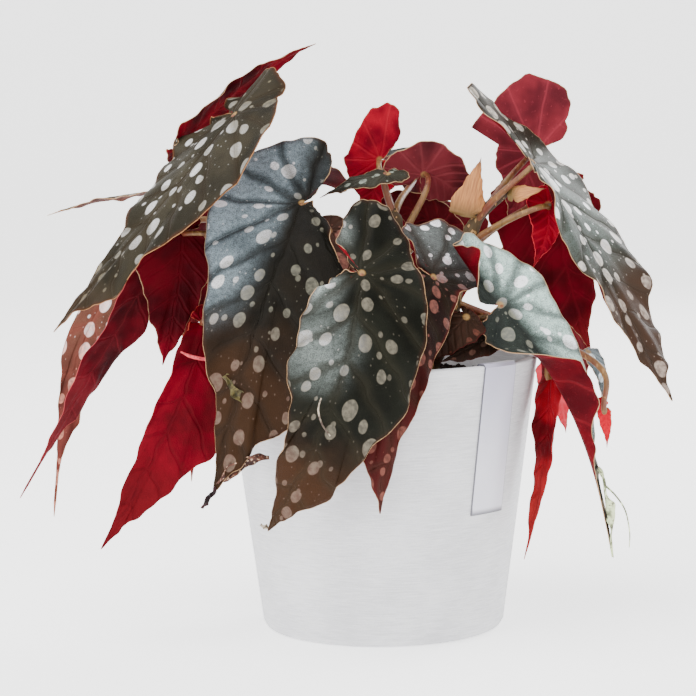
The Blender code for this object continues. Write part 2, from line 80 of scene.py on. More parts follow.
def tint(red, green, blue):
    """A colour as seen on a screen, 0 to 255, turned into the linear light that shaders use."""
    parts = np.array((red, green, blue)) / 255.0
    linear = np.where(parts <= 0.04045, parts / 12.92, ((parts + 0.055) / 1.055) ** 2.4)
    return (*(float(part) for part in linear), 1.0)


def seen(colour):
    """The base colour that, in this light, gives back a plant colour as it looks in the photo."""
    parts = tint(*colour)[:3]
    red, green, blue = (min(part * (SHADE_DIM + SHADE_LIFT * part**2), SHADE_MOST) for part in parts)
    return (red, green, blue + SHADE_BLUE * red, 1.0)


class Wire:
    """A shader socket that takes part in sums: each sum adds its Math node."""

    def __init__(self, finish, socket):
        self.finish = finish
        self.socket = socket

    def math(self, operation, *parts, clamp=False):
        settings = {"operation": operation, "use_clamp": clamp}
        return self.finish.node("Math", settings, dict(enumerate(parts)))

    def __abs__(self):
        return self.math("ABSOLUTE", self)

    def __lt__(self, other):
        return self.math("LESS_THAN", self, other)

    def held(self):
        """Kept between 0 and 1."""
        return self.math("ADD", self, 0.0, clamp=True)

    def eased(self, low, high):
        """0 below the low value and 1 above the high one, with a soft step between."""
        return self.finish.node("MapRange", {"interpolation_type": "SMOOTHSTEP"}, {0: self, 1: low, 2: high})

    def beside(self, name):
        """Another outlet of the same node."""
        return Wire(self.finish, self.socket.node.outputs[name])


for word, operation in {"add": "ADD", "sub": "SUBTRACT", "mul": "MULTIPLY", "truediv": "DIVIDE"}.items():
    setattr(Wire, f"__{word}__", lambda wire, other, does=operation: wire.math(does, wire, other))
    setattr(Wire, f"__r{word}__", lambda wire, other, does=operation: wire.math(does, other, wire))


class Finish:
    """A material being mixed: one shader with its constants, and one way to add any node in front of it."""

    def __init__(self, name, constants=None):
        self.material = bpy.data.materials.new(name)
        self.material.use_nodes = True
        self.tree = self.material.node_tree
        self.shader = self.tree.nodes["Principled BSDF"]
        for socket, value in (constants or {}).items():
            self.give(socket, value)

    def node(self, kind, settings=None, sockets=None, out=0):
        added = self.tree.nodes.new("ShaderNode" + kind)
        for word, value in (settings or {}).items():
            setattr(added, word, value)
        for socket, value in (sockets or {}).items():
            self.feed(added.inputs[socket], value)
        return Wire(self, added.outputs[out])

    def feed(self, socket, value):
        if isinstance(value, Wire):
            self.tree.links.new(value.socket, socket)
        else:
            socket.default_value = value

    def give(self, socket, value):
        self.feed(self.shader.inputs[socket], value)

    def vector(self, operation, *parts, out=0):
        return self.node("VectorMath", {"operation": operation}, dict(enumerate(parts)), out)

    def mix(self, mask, first, second):
        return self.node("Mix", {"data_type": "RGBA"}, {0: mask, 6: first, 7: second}, 2)

    def coats(self, first, *layers):
        """Plant colours laid over a first tone one after the other, each as strong as its mask."""
        tone = first if isinstance(first, Wire) else seen(first)
        for mask, colour in layers:
            tone = self.mix(mask, tone, seen(colour))
        return tone

    def place(self):
        return self.node("TexCoord", out="Object")

    def read(self, word, out="Fac"):
        """What the points of the mesh keep under that word."""
        return self.node("Attribute", {"attribute_name": word}, out=out)

    def split(self, vector, out=0):
        return self.node("SeparateXYZ", None, {0: vector}, out)

    def mottle(self, size, detail=2.0, roughness=0.5, place=None, stretch=None):
        """Soft cloudy patches of about the given size, in units of a place that may be stretched first."""
        place = place or self.place()
        if stretch:
            place = self.vector("MULTIPLY", place, stretch)
        sockets = {"Vector": place, "Scale": 1.0 / size, "Detail": detail, "Roughness": roughness}
        return self.node("TexNoise", None, sockets, "Fac")

    def raise_by(self, height, distance, strength=1.0):
        """Small relief: a height of 1 stands up by the distance, in metres."""
        bump = self.node("Bump", None, {"Height": height, "Distance": distance, "Strength": strength})
        self.give("Normal", bump)


def show(name, mesh, material, node=None):
    """Puts a finished mesh in the scene as one piece of the plant."""
    piece = bpy.data.objects.new(name, mesh)
    bpy.context.scene.collection.objects.link(piece)
    mesh.materials.clear()
    mesh.materials.append(material)
    if node:
        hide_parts(node)
    return piece


def mesh_of(name, points, faces, edges=()):
    """A smooth mesh from points in millimetres."""
    mesh = bpy.data.meshes.new(name)
    mesh.from_pydata((np.asarray(points) * MM).tolist(), list(edges), faces)
    mesh.update()
    mesh.shade_smooth()
    return mesh


def keep(mesh, word, values):
    """Keeps a number, or a vector, on each point of a mesh, for its shader or its node tree to read."""
    kind, field = ("FLOAT_VECTOR", "vector") if np.ndim(values) > 1 else ("FLOAT", "value")
    mesh.attributes.new(word, kind, "POINT").data.foreach_set(field, np.ravel(values))


def joined_rings(name, rings):
    """A closed form made of rings of points, each joined to the next, with both ends capped."""
    count, around = rings.shape[:2]
    here = np.arange(around)
    after = (here + 1) % around
    row = np.arange(count - 1)[:, None] * around
    sides = np.stack([row + here, row + after, row + around + after, row + around + here], axis=2)
    caps = [here[::-1].tolist(), (here + (count - 1) * around).tolist()]
    return mesh_of(name, rings.reshape(-1, 3), sides.reshape(-1, 4).tolist() + caps)


def lathe(name, profile, sides):
    """A smooth form turned round the pot's axis from (radius, height) pairs."""
    turns = 2 * np.pi * np.arange(sides) / sides
    points, rings = [], []
    for radius, height in profile:
        count = sides if radius > 0 else 1
        rings.append([len(points) + i % count for i in range(sides)])
        points += [(radius * np.cos(turn), radius * np.sin(turn), height) for turn in turns[:count]]
    faces = []
    for first, second in zip(rings, rings[1:]):
        for i in range(sides):
            j = (i + 1) % sides
            faces.append(list(dict.fromkeys((first[i], first[j], second[j], second[i]))))
    return mesh_of(name, points, faces)


WHITE = (1.0, 1.0, 1.0, 1.0)
glow = {"Emission Color": WHITE, "Emission Strength": TABLE_GLOW}
table_white = Finish("table_white", {"Base Color": (0.9, 0.9, 0.9, 1.0), "Roughness": 0.9, **glow})
table = show("table_sweep", lathe("table_sweep", SWEEP, 96), table_white.material)
table.data.flip_normals()

LAMPS = (
    ("lamp_overhead", (-500.0, -350.0, 1500.0), (0.0, 0.0, 120.0), 1400.0, 34.0),
    ("lamp_front_left", (-1300.0, -1200.0, 750.0), (0.0, 0.0, 130.0), 900.0, 14.0),
    ("lamp_back_right", (1100.0, 1300.0, 900.0), (0.0, 0.0, 150.0), 900.0, 26.0),
)
for lamp_name, stands, aims, width, power in LAMPS:
    lamp_data = bpy.data.lights.new(lamp_name, "AREA")
    lamp_data.size = width * MM
    lamp_data.energy = power
    lamp = bpy.data.objects.new(lamp_name, lamp_data)
    lamp.location = Vector(stands) * MM
    lamp.rotation_mode = "QUATERNION"
    lamp.rotation_quaternion = (Vector(aims) - Vector(stands)).to_track_quat("-Z", "Y")
    bpy.context.scene.collection.objects.link(lamp)
sky = bpy.data.worlds.new("pale_room")
sky.use_nodes = True
sky.node_tree.nodes["Background"].inputs["Color"].default_value = WHITE
sky.node_tree.nodes["Background"].inputs["Strength"].default_value = SKY_GLOW
bpy.context.scene.world = sky

# Pot: one tapered shell, 150 mm across its rim and 130.5 mm high, moulded from a stone-filled composite.
# Its wall shows short level streaks left by the filler, and its foot and rim are only slightly rounded.
POT_HEIGHT = 130.5
RIM_RADIUS = 75.0
FOOT_RADIUS = 57.5
WALL = 4.0
FLOOR = 6.0
FOOT_ROUND = 3.5
RIM_ROUND = 1.2
STREAKS_PER_METRE = (110.0, 110.0, 2300.0)


def wall_radius(height):
    return FOOT_RADIUS + (RIM_RADIUS - FOOT_RADIUS) * height / POT_HEIGHT


def rim_corner(radius, inset, turns):
    """One rounded corner of the rim, as (radius, height) pairs."""
    rounding = [(1 - np.cos(turn), 1 - np.sin(turn)) for turn in np.radians(turns)]
    return [(radius + inset * level, POT_HEIGHT - RIM_ROUND * drop) for level, drop in rounding]


pot_profile = [(0.0, 0.0), (FOOT_RADIUS - FOOT_ROUND, 0.0)]
for turn in np.radians((15, 30, 45, 60, 75)):
    pot_profile.append((FOOT_RADIUS - FOOT_ROUND * (1 - np.sin(turn)), FOOT_ROUND * (1 - np.cos(turn))))
for height in np.linspace(FOOT_ROUND, POT_HEIGHT - RIM_ROUND, 14):
    pot_profile.append((wall_radius(height), height))
pot_profile += rim_corner(RIM_RADIUS, -RIM_ROUND, (20, 45, 70, 90))
pot_profile += rim_corner(RIM_RADIUS - WALL, RIM_ROUND, (90, 70, 45, 20, 0))
pot_profile += [(wall_radius(FLOOR) - WALL, FLOOR), (0.0, FLOOR)]

stone_white = Finish("stone_white", {"Specular IOR Level": 0.25})
streak = stone_white.mottle(1.0, 3.0, 0.6, stretch=STREAKS_PER_METRE)
cloud = stone_white.mottle(0.03)
grit = stone_white.mottle(0.0006)
wall_tone = (0.5 * streak + 0.3 * cloud + 0.2 * grit).eased(0.35, 0.65)
stone_white.give("Base Color", stone_white.mix(wall_tone, tint(186, 186, 189), tint(212, 212, 214)))
stone_white.give("Roughness", 0.62 + 0.2 * streak)
stone_white.raise_by(streak + 0.4 * grit, 0.00012)
pot = show("pot_shell", lathe("pot_shell", pot_profile, 192), stone_white.material, "pot")
pot.data.set_sharp_from_angle(angle=np.radians(50))
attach(pot, "root")

# Label: a blank strip of milky film, 22 mm wide, that lies on the wall and hooks over the rim at the right
# front. It is cut from one sheet 0.6 mm thick, and its cut edge looks darker than its face.
LABEL_WIDTH = 21.8
LABEL_DROP = 70.0
LABEL_HOOK = 11.0
LABEL_THICK = 0.6
LABEL_ANGLE = 46.7
LABEL_LIFT = 0.3
LABEL_TURN = 0.8
LABEL_BEND = 0.5


def strip_path():
    """The strip's own lengthwise path over the rim, as (radius, height) of the side that touches the pot."""
    low, turn, high = POT_HEIGHT - LABEL_DROP, POT_HEIGHT - LABEL_TURN, POT_HEIGHT + LABEL_LIFT
    outside = [(wall_radius(height) + LABEL_LIFT, height) for height in np.linspace(low, turn, 16)]
    over = [(RIM_RADIUS - LABEL_BEND, high), (RIM_RADIUS - WALL + LABEL_BEND, high)]
    hook = POT_HEIGHT - LABEL_HOOK
    inside = [(wall_radius(height) - WALL - LABEL_LIFT, height) for height in np.linspace(turn, hook, 4)]
    return np.array(outside + over + inside)


def strip_mesh(name):
    inner = strip_path()
    ahead = np.gradient(inner, axis=0)
    ahead /= np.linalg.norm(ahead, axis=1, keepdims=True)
    outer = inner + np.stack([ahead[:, 1], -ahead[:, 0]], axis=1) * LABEL_THICK
    across = LABEL_WIDTH / 2 * np.array((-1, -0.95, -0.6, -0.2, 0.2, 0.6, 0.95, 1))[:, None]
    radius, height = np.vstack([inner, outer[::-1]]).T
    angle = np.radians(LABEL_ANGLE) + across / radius
    upright = np.broadcast_to(height, angle.shape)
    mesh = joined_rings(name, np.stack([radius * np.sin(angle), -radius * np.cos(angle), upright], axis=2))
    cut = np.zeros(angle.shape)
    cut[[0, -1]] = cut[:, [0, -1]] = 1.0
    keep(mesh, "edge", cut.ravel())
    mesh.set_sharp_from_angle(angle=np.radians(40))
    return mesh


milky_film = Finish("milky_film", {"Roughness": 0.35, "Coat Weight": 0.15})
up_wall = milky_film.split(milky_film.place(), "Z")
film_tone = milky_film.mix(up_wall.eased(0.075, 0.13), tint(206, 205, 214), tint(176, 174, 192))
film_cloud = milky_film.mottle(0.012)
film_tone = milky_film.mix(0.25 * film_cloud, film_tone, tint(160, 158, 176))
film_edge = milky_film.read("edge").eased(0.3, 1.0)
milky_film.give("Base Color", milky_film.mix(film_edge * 0.9, film_tone, tint(72, 72, 80)))
milky_film.raise_by(film_cloud, 0.0003)
label = show("rim_strip", strip_mesh("rim_strip"), milky_film.material, "rim_label")
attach(label, "root")

# Soil: moist dark potting mix, filled to 13 mm below the rim and heaped a little round the canes. Its top
# is loose crumbs and a few chips of bark, each lying where it fell.
SOIL_TOP = 117.5
SOIL_CROWN = 4.0
SOIL_LUMPS = 0.8
SOIL_GRAIN = 0.35
SOIL_CLEAR = 0.3
CRUMBS = 2600
CRUMB_SIZES = (1.1, 3.4)
CRUMB_SLOPE = 0.6
CRUMB_DENT = 0.35
FULL_TURNS = (6.28, 6.28, 6.28)


def soil_dish(name):
    """The solid fill, with its uneven top finely divided."""
    edge, low = wall_radius(SOIL_TOP) - WALL - SOIL_CLEAR, FLOOR + SOIL_CLEAR
    profile = [(0.0, low), (wall_radius(FLOOR) - WALL - SOIL_CLEAR, low), (edge, SOIL_TOP)]
    shares = np.linspace(0.97, 0.0, 24)
    profile += [(edge * share, SOIL_TOP + SOIL_CROWN * (1 - share**2)) for share in shares]
    mesh = lathe(name, profile, 96)
    for corner in mesh.vertices:
        x, y, z = corner.co / MM
        if z > SOIL_TOP + 0.05:
            lumps = SOIL_LUMPS * np.sin(0.21 * x + 0.4) * np.cos(0.17 * y - 0.7)
            fine = SOIL_GRAIN * np.sin(0.9 * x + 1.3 * y) * np.sin(1.1 * y - 0.6 * x + 1.0)
            corner.co.z += MM * (lumps + fine)
    return mesh


def node_tree(name, inputs, nodes, links):
    """A Geometry Nodes tree: named inputs, nodes as (kind, settings, values), links by node and socket."""
    tree = bpy.data.node_groups.new(name, "GeometryNodeTree")
    for word, kind in inputs.items():
        tree.interface.new_socket(word, in_out="INPUT", socket_type="NodeSocket" + kind)
    tree.interface.new_socket("Result", in_out="OUTPUT", socket_type="NodeSocketGeometry")
    added = {"given": tree.nodes.new("NodeGroupInput"), "made": tree.nodes.new("NodeGroupOutput")}
    ends = {
        "real": ("GeometryNodeRealizeInstances", {}, {}),
        "paint": ("GeometryNodeSetMaterial", {}, {}),
    }
    for word, (kind, settings, sockets) in {**nodes, **ends}.items():
        added[word] = tree.nodes.new(kind)
        for setting, value in settings.items():
            setattr(added[word], setting, value)
        for socket, value in sockets.items():
            added[word].inputs[socket].default_value = value
    last = (
        ("real", 0, "paint", "Geometry"),
        ("given", "Finish", "paint", "Material"),
        ("paint", 0, "made", "Result"),
    )
    for source, outlet, target, inlet in links + last:
        tree.links.new(added[source].outputs[outlet], added[target].inputs[inlet])
    return tree


def crumb_tree():
    """Scatters crumbs over the upward faces, given how many, the least and greatest size and the finish."""
    inputs = {
        "Soil": "Geometry",
        "Crumbs per square metre": "Float",
        "Least size": "Float",
        "Greatest size": "Float",
        "Finish": "Material",
    }
    nodes = {
        "normal": ("GeometryNodeInputNormal", {}, {}),
        "rise": ("ShaderNodeSeparateXYZ", {}, {}),
        "upward": ("ShaderNodeMath", {"operation": "GREATER_THAN"}, {1: CRUMB_SLOPE}),
        "scatter": ("GeometryNodeDistributePointsOnFaces", {}, {"Seed": 7}),
        "crumb": ("GeometryNodeMeshIcoSphere", {}, {"Radius": 0.5, "Subdivisions": 1}),
        "dent": ("ShaderNodeTexNoise", {}, {"Scale": 2.4}),
        "push": ("ShaderNodeVectorMath", {"operation": "SCALE"}, {"Scale": CRUMB_DENT}),
        "bend": ("GeometryNodeSetPosition", {}, {}),
        "sizes": ("FunctionNodeRandomValue", {}, {"Seed": 3}),
        "turns": ("FunctionNodeRandomValue", {"data_type": "FLOAT_VECTOR"}, {1: FULL_TURNS, "Seed": 11}),
        "place": ("GeometryNodeInstanceOnPoints", {}, {}),
        "both": ("GeometryNodeJoinGeometry", {}, {}),
    }
    links = (
        ("normal", 0, "rise", 0),
        ("rise", "Z", "upward", 0),
        ("given", "Soil", "scatter", "Mesh"),
        ("upward", 0, "scatter", "Selection"),
        ("given", "Crumbs per square metre", "scatter", "Density"),
        ("dent", "Color", "push", 0),
        ("crumb", "Mesh", "bend", "Geometry"),
        ("push", 0, "bend", "Offset"),
        ("given", "Least size", "sizes", 2),
        ("given", "Greatest size", "sizes", 3),
        ("scatter", "Points", "place", "Points"),
        ("bend", "Geometry", "place", "Instance"),
        ("turns", 0, "place", "Rotation"),
        ("sizes", 1, "place", "Scale"),
        ("given", "Soil", "both", 0),
        ("place", "Instances", "both", 0),
        ("both", 0, "real", 0),
    )
    return node_tree("scatter_crumbs", inputs, nodes, links)


def grown(piece, tree, values):
    """Runs a node tree on a piece and keeps the result as the piece's plain mesh."""
    growth = piece.modifiers.new("growth", "NODES")
    growth.node_group = tree
    for socket in tree.interface.items_tree:
        if socket.item_type == "SOCKET" and socket.in_out == "INPUT" and socket.name in values:
            growth[socket.identifier] = values[socket.name]
    bpy.context.view_layer.update()
    result = bpy.data.meshes.new_from_object(piece.evaluated_get(bpy.context.evaluated_depsgraph_get()))
    piece.modifiers.remove(growth)
    return result


potting_mix = Finish("potting_mix", {"Roughness": 0.95, "Specular IOR Level": 0.2})
mix_patch = potting_mix.mottle(0.004).eased(0.35, 0.65)
mix_bark = potting_mix.mottle(0.009).eased(0.60, 0.70)
mix_grain = potting_mix.mottle(0.0007, 4.0)
mix_tone = potting_mix.coats((34, 25, 19), (mix_patch, (70, 52, 38)), (0.6 * mix_bark, (112, 82, 56)))
potting_mix.give("Base Color", mix_tone)
potting_mix.raise_by(mix_grain, 0.0005)
dish = show("soil_heap", soil_dish("soil_heap"), potting_mix.material, "soil")
top_area = np.pi * (wall_radius(SOIL_TOP) - WALL) ** 2 * MM**2
crumb_values = {
    "Crumbs per square metre": CRUMBS / top_area,
    "Least size": CRUMB_SIZES[0] * MM,
    "Greatest size": CRUMB_SIZES[1] * MM,
    "Finish": potting_mix.material,
}
dish.data = grown(dish, crumb_tree(), crumb_values)
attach(dish, "root")

# Leaves: thin blades shaped like a wing, a broad half and a narrow half on one midrib, with a lobe behind
# the joint. The upper skin is dark with silver spots between the veins, the underside is red, and the
# margin is a pale line.
OUTLINE = (
    (-0.004, -0.014), (0.00, -0.10), (0.035, -0.165), (0.11, -0.20), (0.26, -0.205), (0.45, -0.16),
    (0.65, -0.095), (0.83, -0.038), (0.93, -0.012), (1.00, 0.00), (0.93, 0.014), (0.85, 0.045),
    (0.70, 0.115), (0.50, 0.205), (0.28, 0.285), (0.06, 0.32), (-0.14, 0.275), (-0.27, 0.145),
    (-0.30, 0.00), (-0.24, -0.115), (-0.13, -0.145), (-0.045, -0.075),
)
LOBE_REACH = 0.30
TAIL_START = 0.95
CREASE = 0.03
CURL_START = 0.08
CURL_END = 0.33
RIB_GAP = 0.155
RIB_SLANT = 0.95
FIRST_FAN = 0.811
FAN_TURN = 0.5827
WAVE, WAVES = 0.015, 9
FRILL, FRILLS = 0.008, 21
SWELL = 0.006
QUILT = 0.006
QUILT_REACH = 0.03
BLADE_THICK = 0.55
MARGIN_THICK = 0.30


def leaf(base, middle, tip, faces, cane, height, **shape):
    """One leaf: three points of its midrib, how its upper face looks, its cane, and where it springs."""
    given = dict(base=base, middle=middle, tip=tip, faces=faces, tip_faces=faces, cane=cane, height=height)
    usual = dict(
        broad=1, width=1.0, broad_width=1.0, narrow_width=1.0, late=0.0, narrow_late=0.0, lobe=1.0,
        lobe_width=1.0, lobe_bend=0.0, fold=(-5, -10), lobe_fold=None, late_fold=None, tail=0.0,
        petiole_from=None, petiole_over=None,
    )
    return {**usual, **given, **shape}


LEAVES = {
    "leaf_tall_left": leaf(
        (-67, -25, 246), (-103, -39, 202), (-153, -30, 146), (-0.70, -0.45, 0.55), "left", 205, width=0.8,
        broad_width=0.85, narrow_width=1.6, late=0.8, narrow_late=-1.1, lobe=0.75, lobe_width=0.75,
        fold=(-10, -5), lobe_fold=(-30, -30),
    ),
    "leaf_top_left_red": leaf(
        (-95, 4, 229), (-63, 7, 260), (-29, 7, 279), (-0.45, 0.55, 0.70), "left", 200, width=0.7, lobe=0.3,
    ),
    "leaf_far_left_red": leaf(
        (-104, -6, 178), (-131, -9, 135), (-173, -12, 65), (-0.50, 0.65, 0.50), "left", 165, broad=-1,
        width=0.38, broad_width=0.75, late=0.5, lobe=0.3, tail=0.1,
    ),
    "leaf_far_left_brown": leaf(
        (-114, 18, 180), (-144, 14, 135), (-159, 5, 53), (-0.30, -0.85, 0.20), "left", 172, width=0.42,
        narrow_width=0.75, narrow_late=0.6, lobe=0.5, tail=0.1, petiole_from=(0.9, 0.1, -0.2),
    ),
    "leaf_thin_left": leaf(
        (-110, 24, 208), (-130, 24, 206), (-161, 24, 198), (0.0, 0.1, 1.0), "left", 190, width=0.7,
    ),
    "leaf_inner_left_red": leaf(
        (-92, -21, 192), (-96, -24, 160), (-103, -22, 129), (-0.2, 0.9, 0.3), "left", 160, width=0.95,
        late=0.6, lobe=0.5, petiole_from=(0.9, -0.3, 0.1),
    ),
    "leaf_low_left_red": leaf(
        (-83, -36, 150), (-94, -50, 113), (-131, -52, 47), (-0.15, 0.95, -0.1), "left", 140, broad=-1,
        width=0.95, broad_width=0.6, narrow_width=0.35, late=1.1, lobe=0.3, lobe_width=0.4,
        petiole_over=(-72, -40, 168),
    ),
    "leaf_front_left": leaf(
        (-36, -35, 205), (-57, -66, 150), (-78, -63, 75), (-0.20, -0.90, 0.35), "left", 165, broad=-1,
        width=0.85, broad_width=1.1, narrow_width=0.37, late=-0.4, narrow_late=11.3, lobe=0.85,
        lobe_bend=-20, fold=(0, -2),
    ),
    "leaf_front_gap": leaf(
        (-24, -18, 191), (-30, -38, 163), (-35, -48, 136), (0.0, -0.90, 0.30), "middle", 150, width=0.7,
        lobe=0.5,
    ),
    "leaf_front_middle": leaf(
        (-9, -75, 175), (-23, -98, 118), (-53, -72, 58), (0.10, -0.95, 0.30), "middle", 140, width=0.85,
        broad_width=0.72, narrow_width=0.75, late=1.3, fold=(-8, -15), lobe_fold=(-15, -30),
    ),
    "leaf_front_right": leaf(
        (24, -50, 171), (7, -84, 123), (-2, -77, 66), (0.30, -0.90, 0.20), "middle", 135, width=0.95,
        broad_width=0.41, narrow_width=0.7, late=0.3, narrow_late=1.5, lobe_width=1.9, lobe=1.2,
        lobe_bend=15, fold=(-10, -20),
    ),
    "leaf_right_rim": leaf(
        (55, -40, 157), (88, -52, 106), (105, -50, 45), (0.25, -0.85, 0.40), "right", 140, width=0.85,
        broad_width=0.75, narrow_width=0.75, late=-0.45, narrow_late=1.7, lobe=0.95, lobe_fold=(-10, 230),
        fold=(0, -20), late_fold=(0, 130), lobe_bend=-20, tail=0.2,
    ),
    "leaf_right_low": leaf(
        (52, -34, 146), (41, -46, 138), (26, -54, 132), (0.0, -0.80, 0.60), "right", 130, width=1.0,
        lobe=0.3, fold=(0, 0), petiole_over=(50, -28, 140),
    ),
    "leaf_tall_right": leaf(
        (73, -5, 222), (98.3, -10, 183), (138, -15, 108), (0.85, -0.30, 0.50), "right", 190,
        tip_faces=(0.5, -0.75, 0.4), width=0.8, narrow_width=0.45, late=0.9, narrow_late=1.8, lobe=1.2,
        fold=(0, 0),
    ),
    "leaf_top_right": leaf(
        (77, 36, 226), (72, 34, 210), (63, 30, 191), (0.20, 0.90, 0.30), "right", 185, width=1.5, lobe=3.1,
        lobe_width=1.8,
    ),
    "leaf_right_back": leaf(
        (87, 48, 207), (94, 48, 166), (105, 42, 126), (0.10, 0.95, 0.10), "right", 175, width=1.25,
        lobe=0.4,
    ),
    "leaf_young_red": leaf(
        (81, 5, 201), (80, 2, 187), (73, 0, 171), (0.0, 0.9, 0.3), "right", 180,
    ),
    "leaf_middle_maroon": leaf(
        (22, 16, 216), (36, 20, 209), (46, 22, 194), (0.10, 0.90, 0.35), "middle", 180, broad=-1,
        width=1.6, lobe=2.0,
    ),
    "leaf_top_middle": leaf(
        (1, 24, 223), (-2, 25, 208), (-5, 26, 192), (0.10, 0.90, 0.10), "middle", 190, width=1.6, lobe=2.9,
    ),
    "leaf_middle_back": leaf(
        (30, 38, 188), (11, 38, 200), (-13, 36, 200), (0.10, 0.80, 0.50), "middle", 170, width=0.9,
    ),
    "leaf_edge_on": leaf(
        (4, -1, 217), (-10, -3, 214), (-28, -3, 206), (0.0, -0.50, 0.87), "middle", 195, width=0.8,
    ),
    "leaf_hanging_right": leaf(
        (80, -25, 122), (75, -34, 81), (66, -32, 36), (0.85, 0.50, 0.10), "right", 135, width=0.42,
        petiole_over=(74, -22, 138),
    ),
    "leaf_pink_right": leaf(
        (84, 8, 120), (87, 5, 107), (89, 3, 91), (0.3, 0.9, 0.1), "right", 140, width=1.0,
        petiole_over=(77, 6, 138),
    ),
    "leaf_small_dotted": leaf(
        (99, -5, 131), (104, -8, 122), (105, -8, 109), (0.6, -0.6, 0.5), "right", 150, lobe=0.3,
        petiole_over=(89, 5, 131),
    ),
    "leaf_small_red": leaf(
        (106, -14, 105), (107, -14, 97), (107, -14, 86), (0.3, 0.9, 0.1), "right", 155, width=0.7,
        petiole_over=(100, -16, 128),
    ),
    "leaf_inside_right": leaf(
        (39, -46, 152), (30, -50, 143), (20, -52, 130), (-0.1, -0.9, 0.3), "right", 138, width=1.2,
        lobe=0.5, petiole_over=(42, -24, 148),
    ),
    "leaf_back_left": leaf(
        (-48, 42, 215), (-80, 74, 188), (-100, 92, 120), (-0.50, 0.70, 0.50), "left", 190, fold=(-8, -20),
    ),
    "leaf_back_middle": leaf(
        (10, 66, 196), (18, 98, 162), (20, 104, 84), (0.10, 0.90, 0.35), "middle", 160, fold=(-8, -30),
        broad=-1, lobe=0.5,
    ),
    "leaf_back_low": leaf(
        (-22, 62, 160), (-34, 90, 125), (-46, 88, 55), (-0.10, 0.90, 0.30), "middle", 140, fold=(-8, -15),
        width=0.9,
    ),
    "leaf_back_right": leaf(
        (78, 69, 172), (98, 88, 140), (108, 90, 78), (0.55, 0.65, 0.50), "right", 165, fold=(-8, -30),
        width=0.85, lobe=0.35,
    ),
    "leaf_back_low_left": leaf(
        (-64, 40, 150), (-86, 62, 118), (-96, 66, 60), (-0.65, 0.60, 0.40), "left", 135, width=0.8,
        lobe=0.8,
    ),
    "leaf_back_top": leaf(
        (20, 52, 228), (22, 82, 219), (22, 108, 188), (0.0, 0.50, 0.85), "middle", 195, width=0.9,
    ),
}

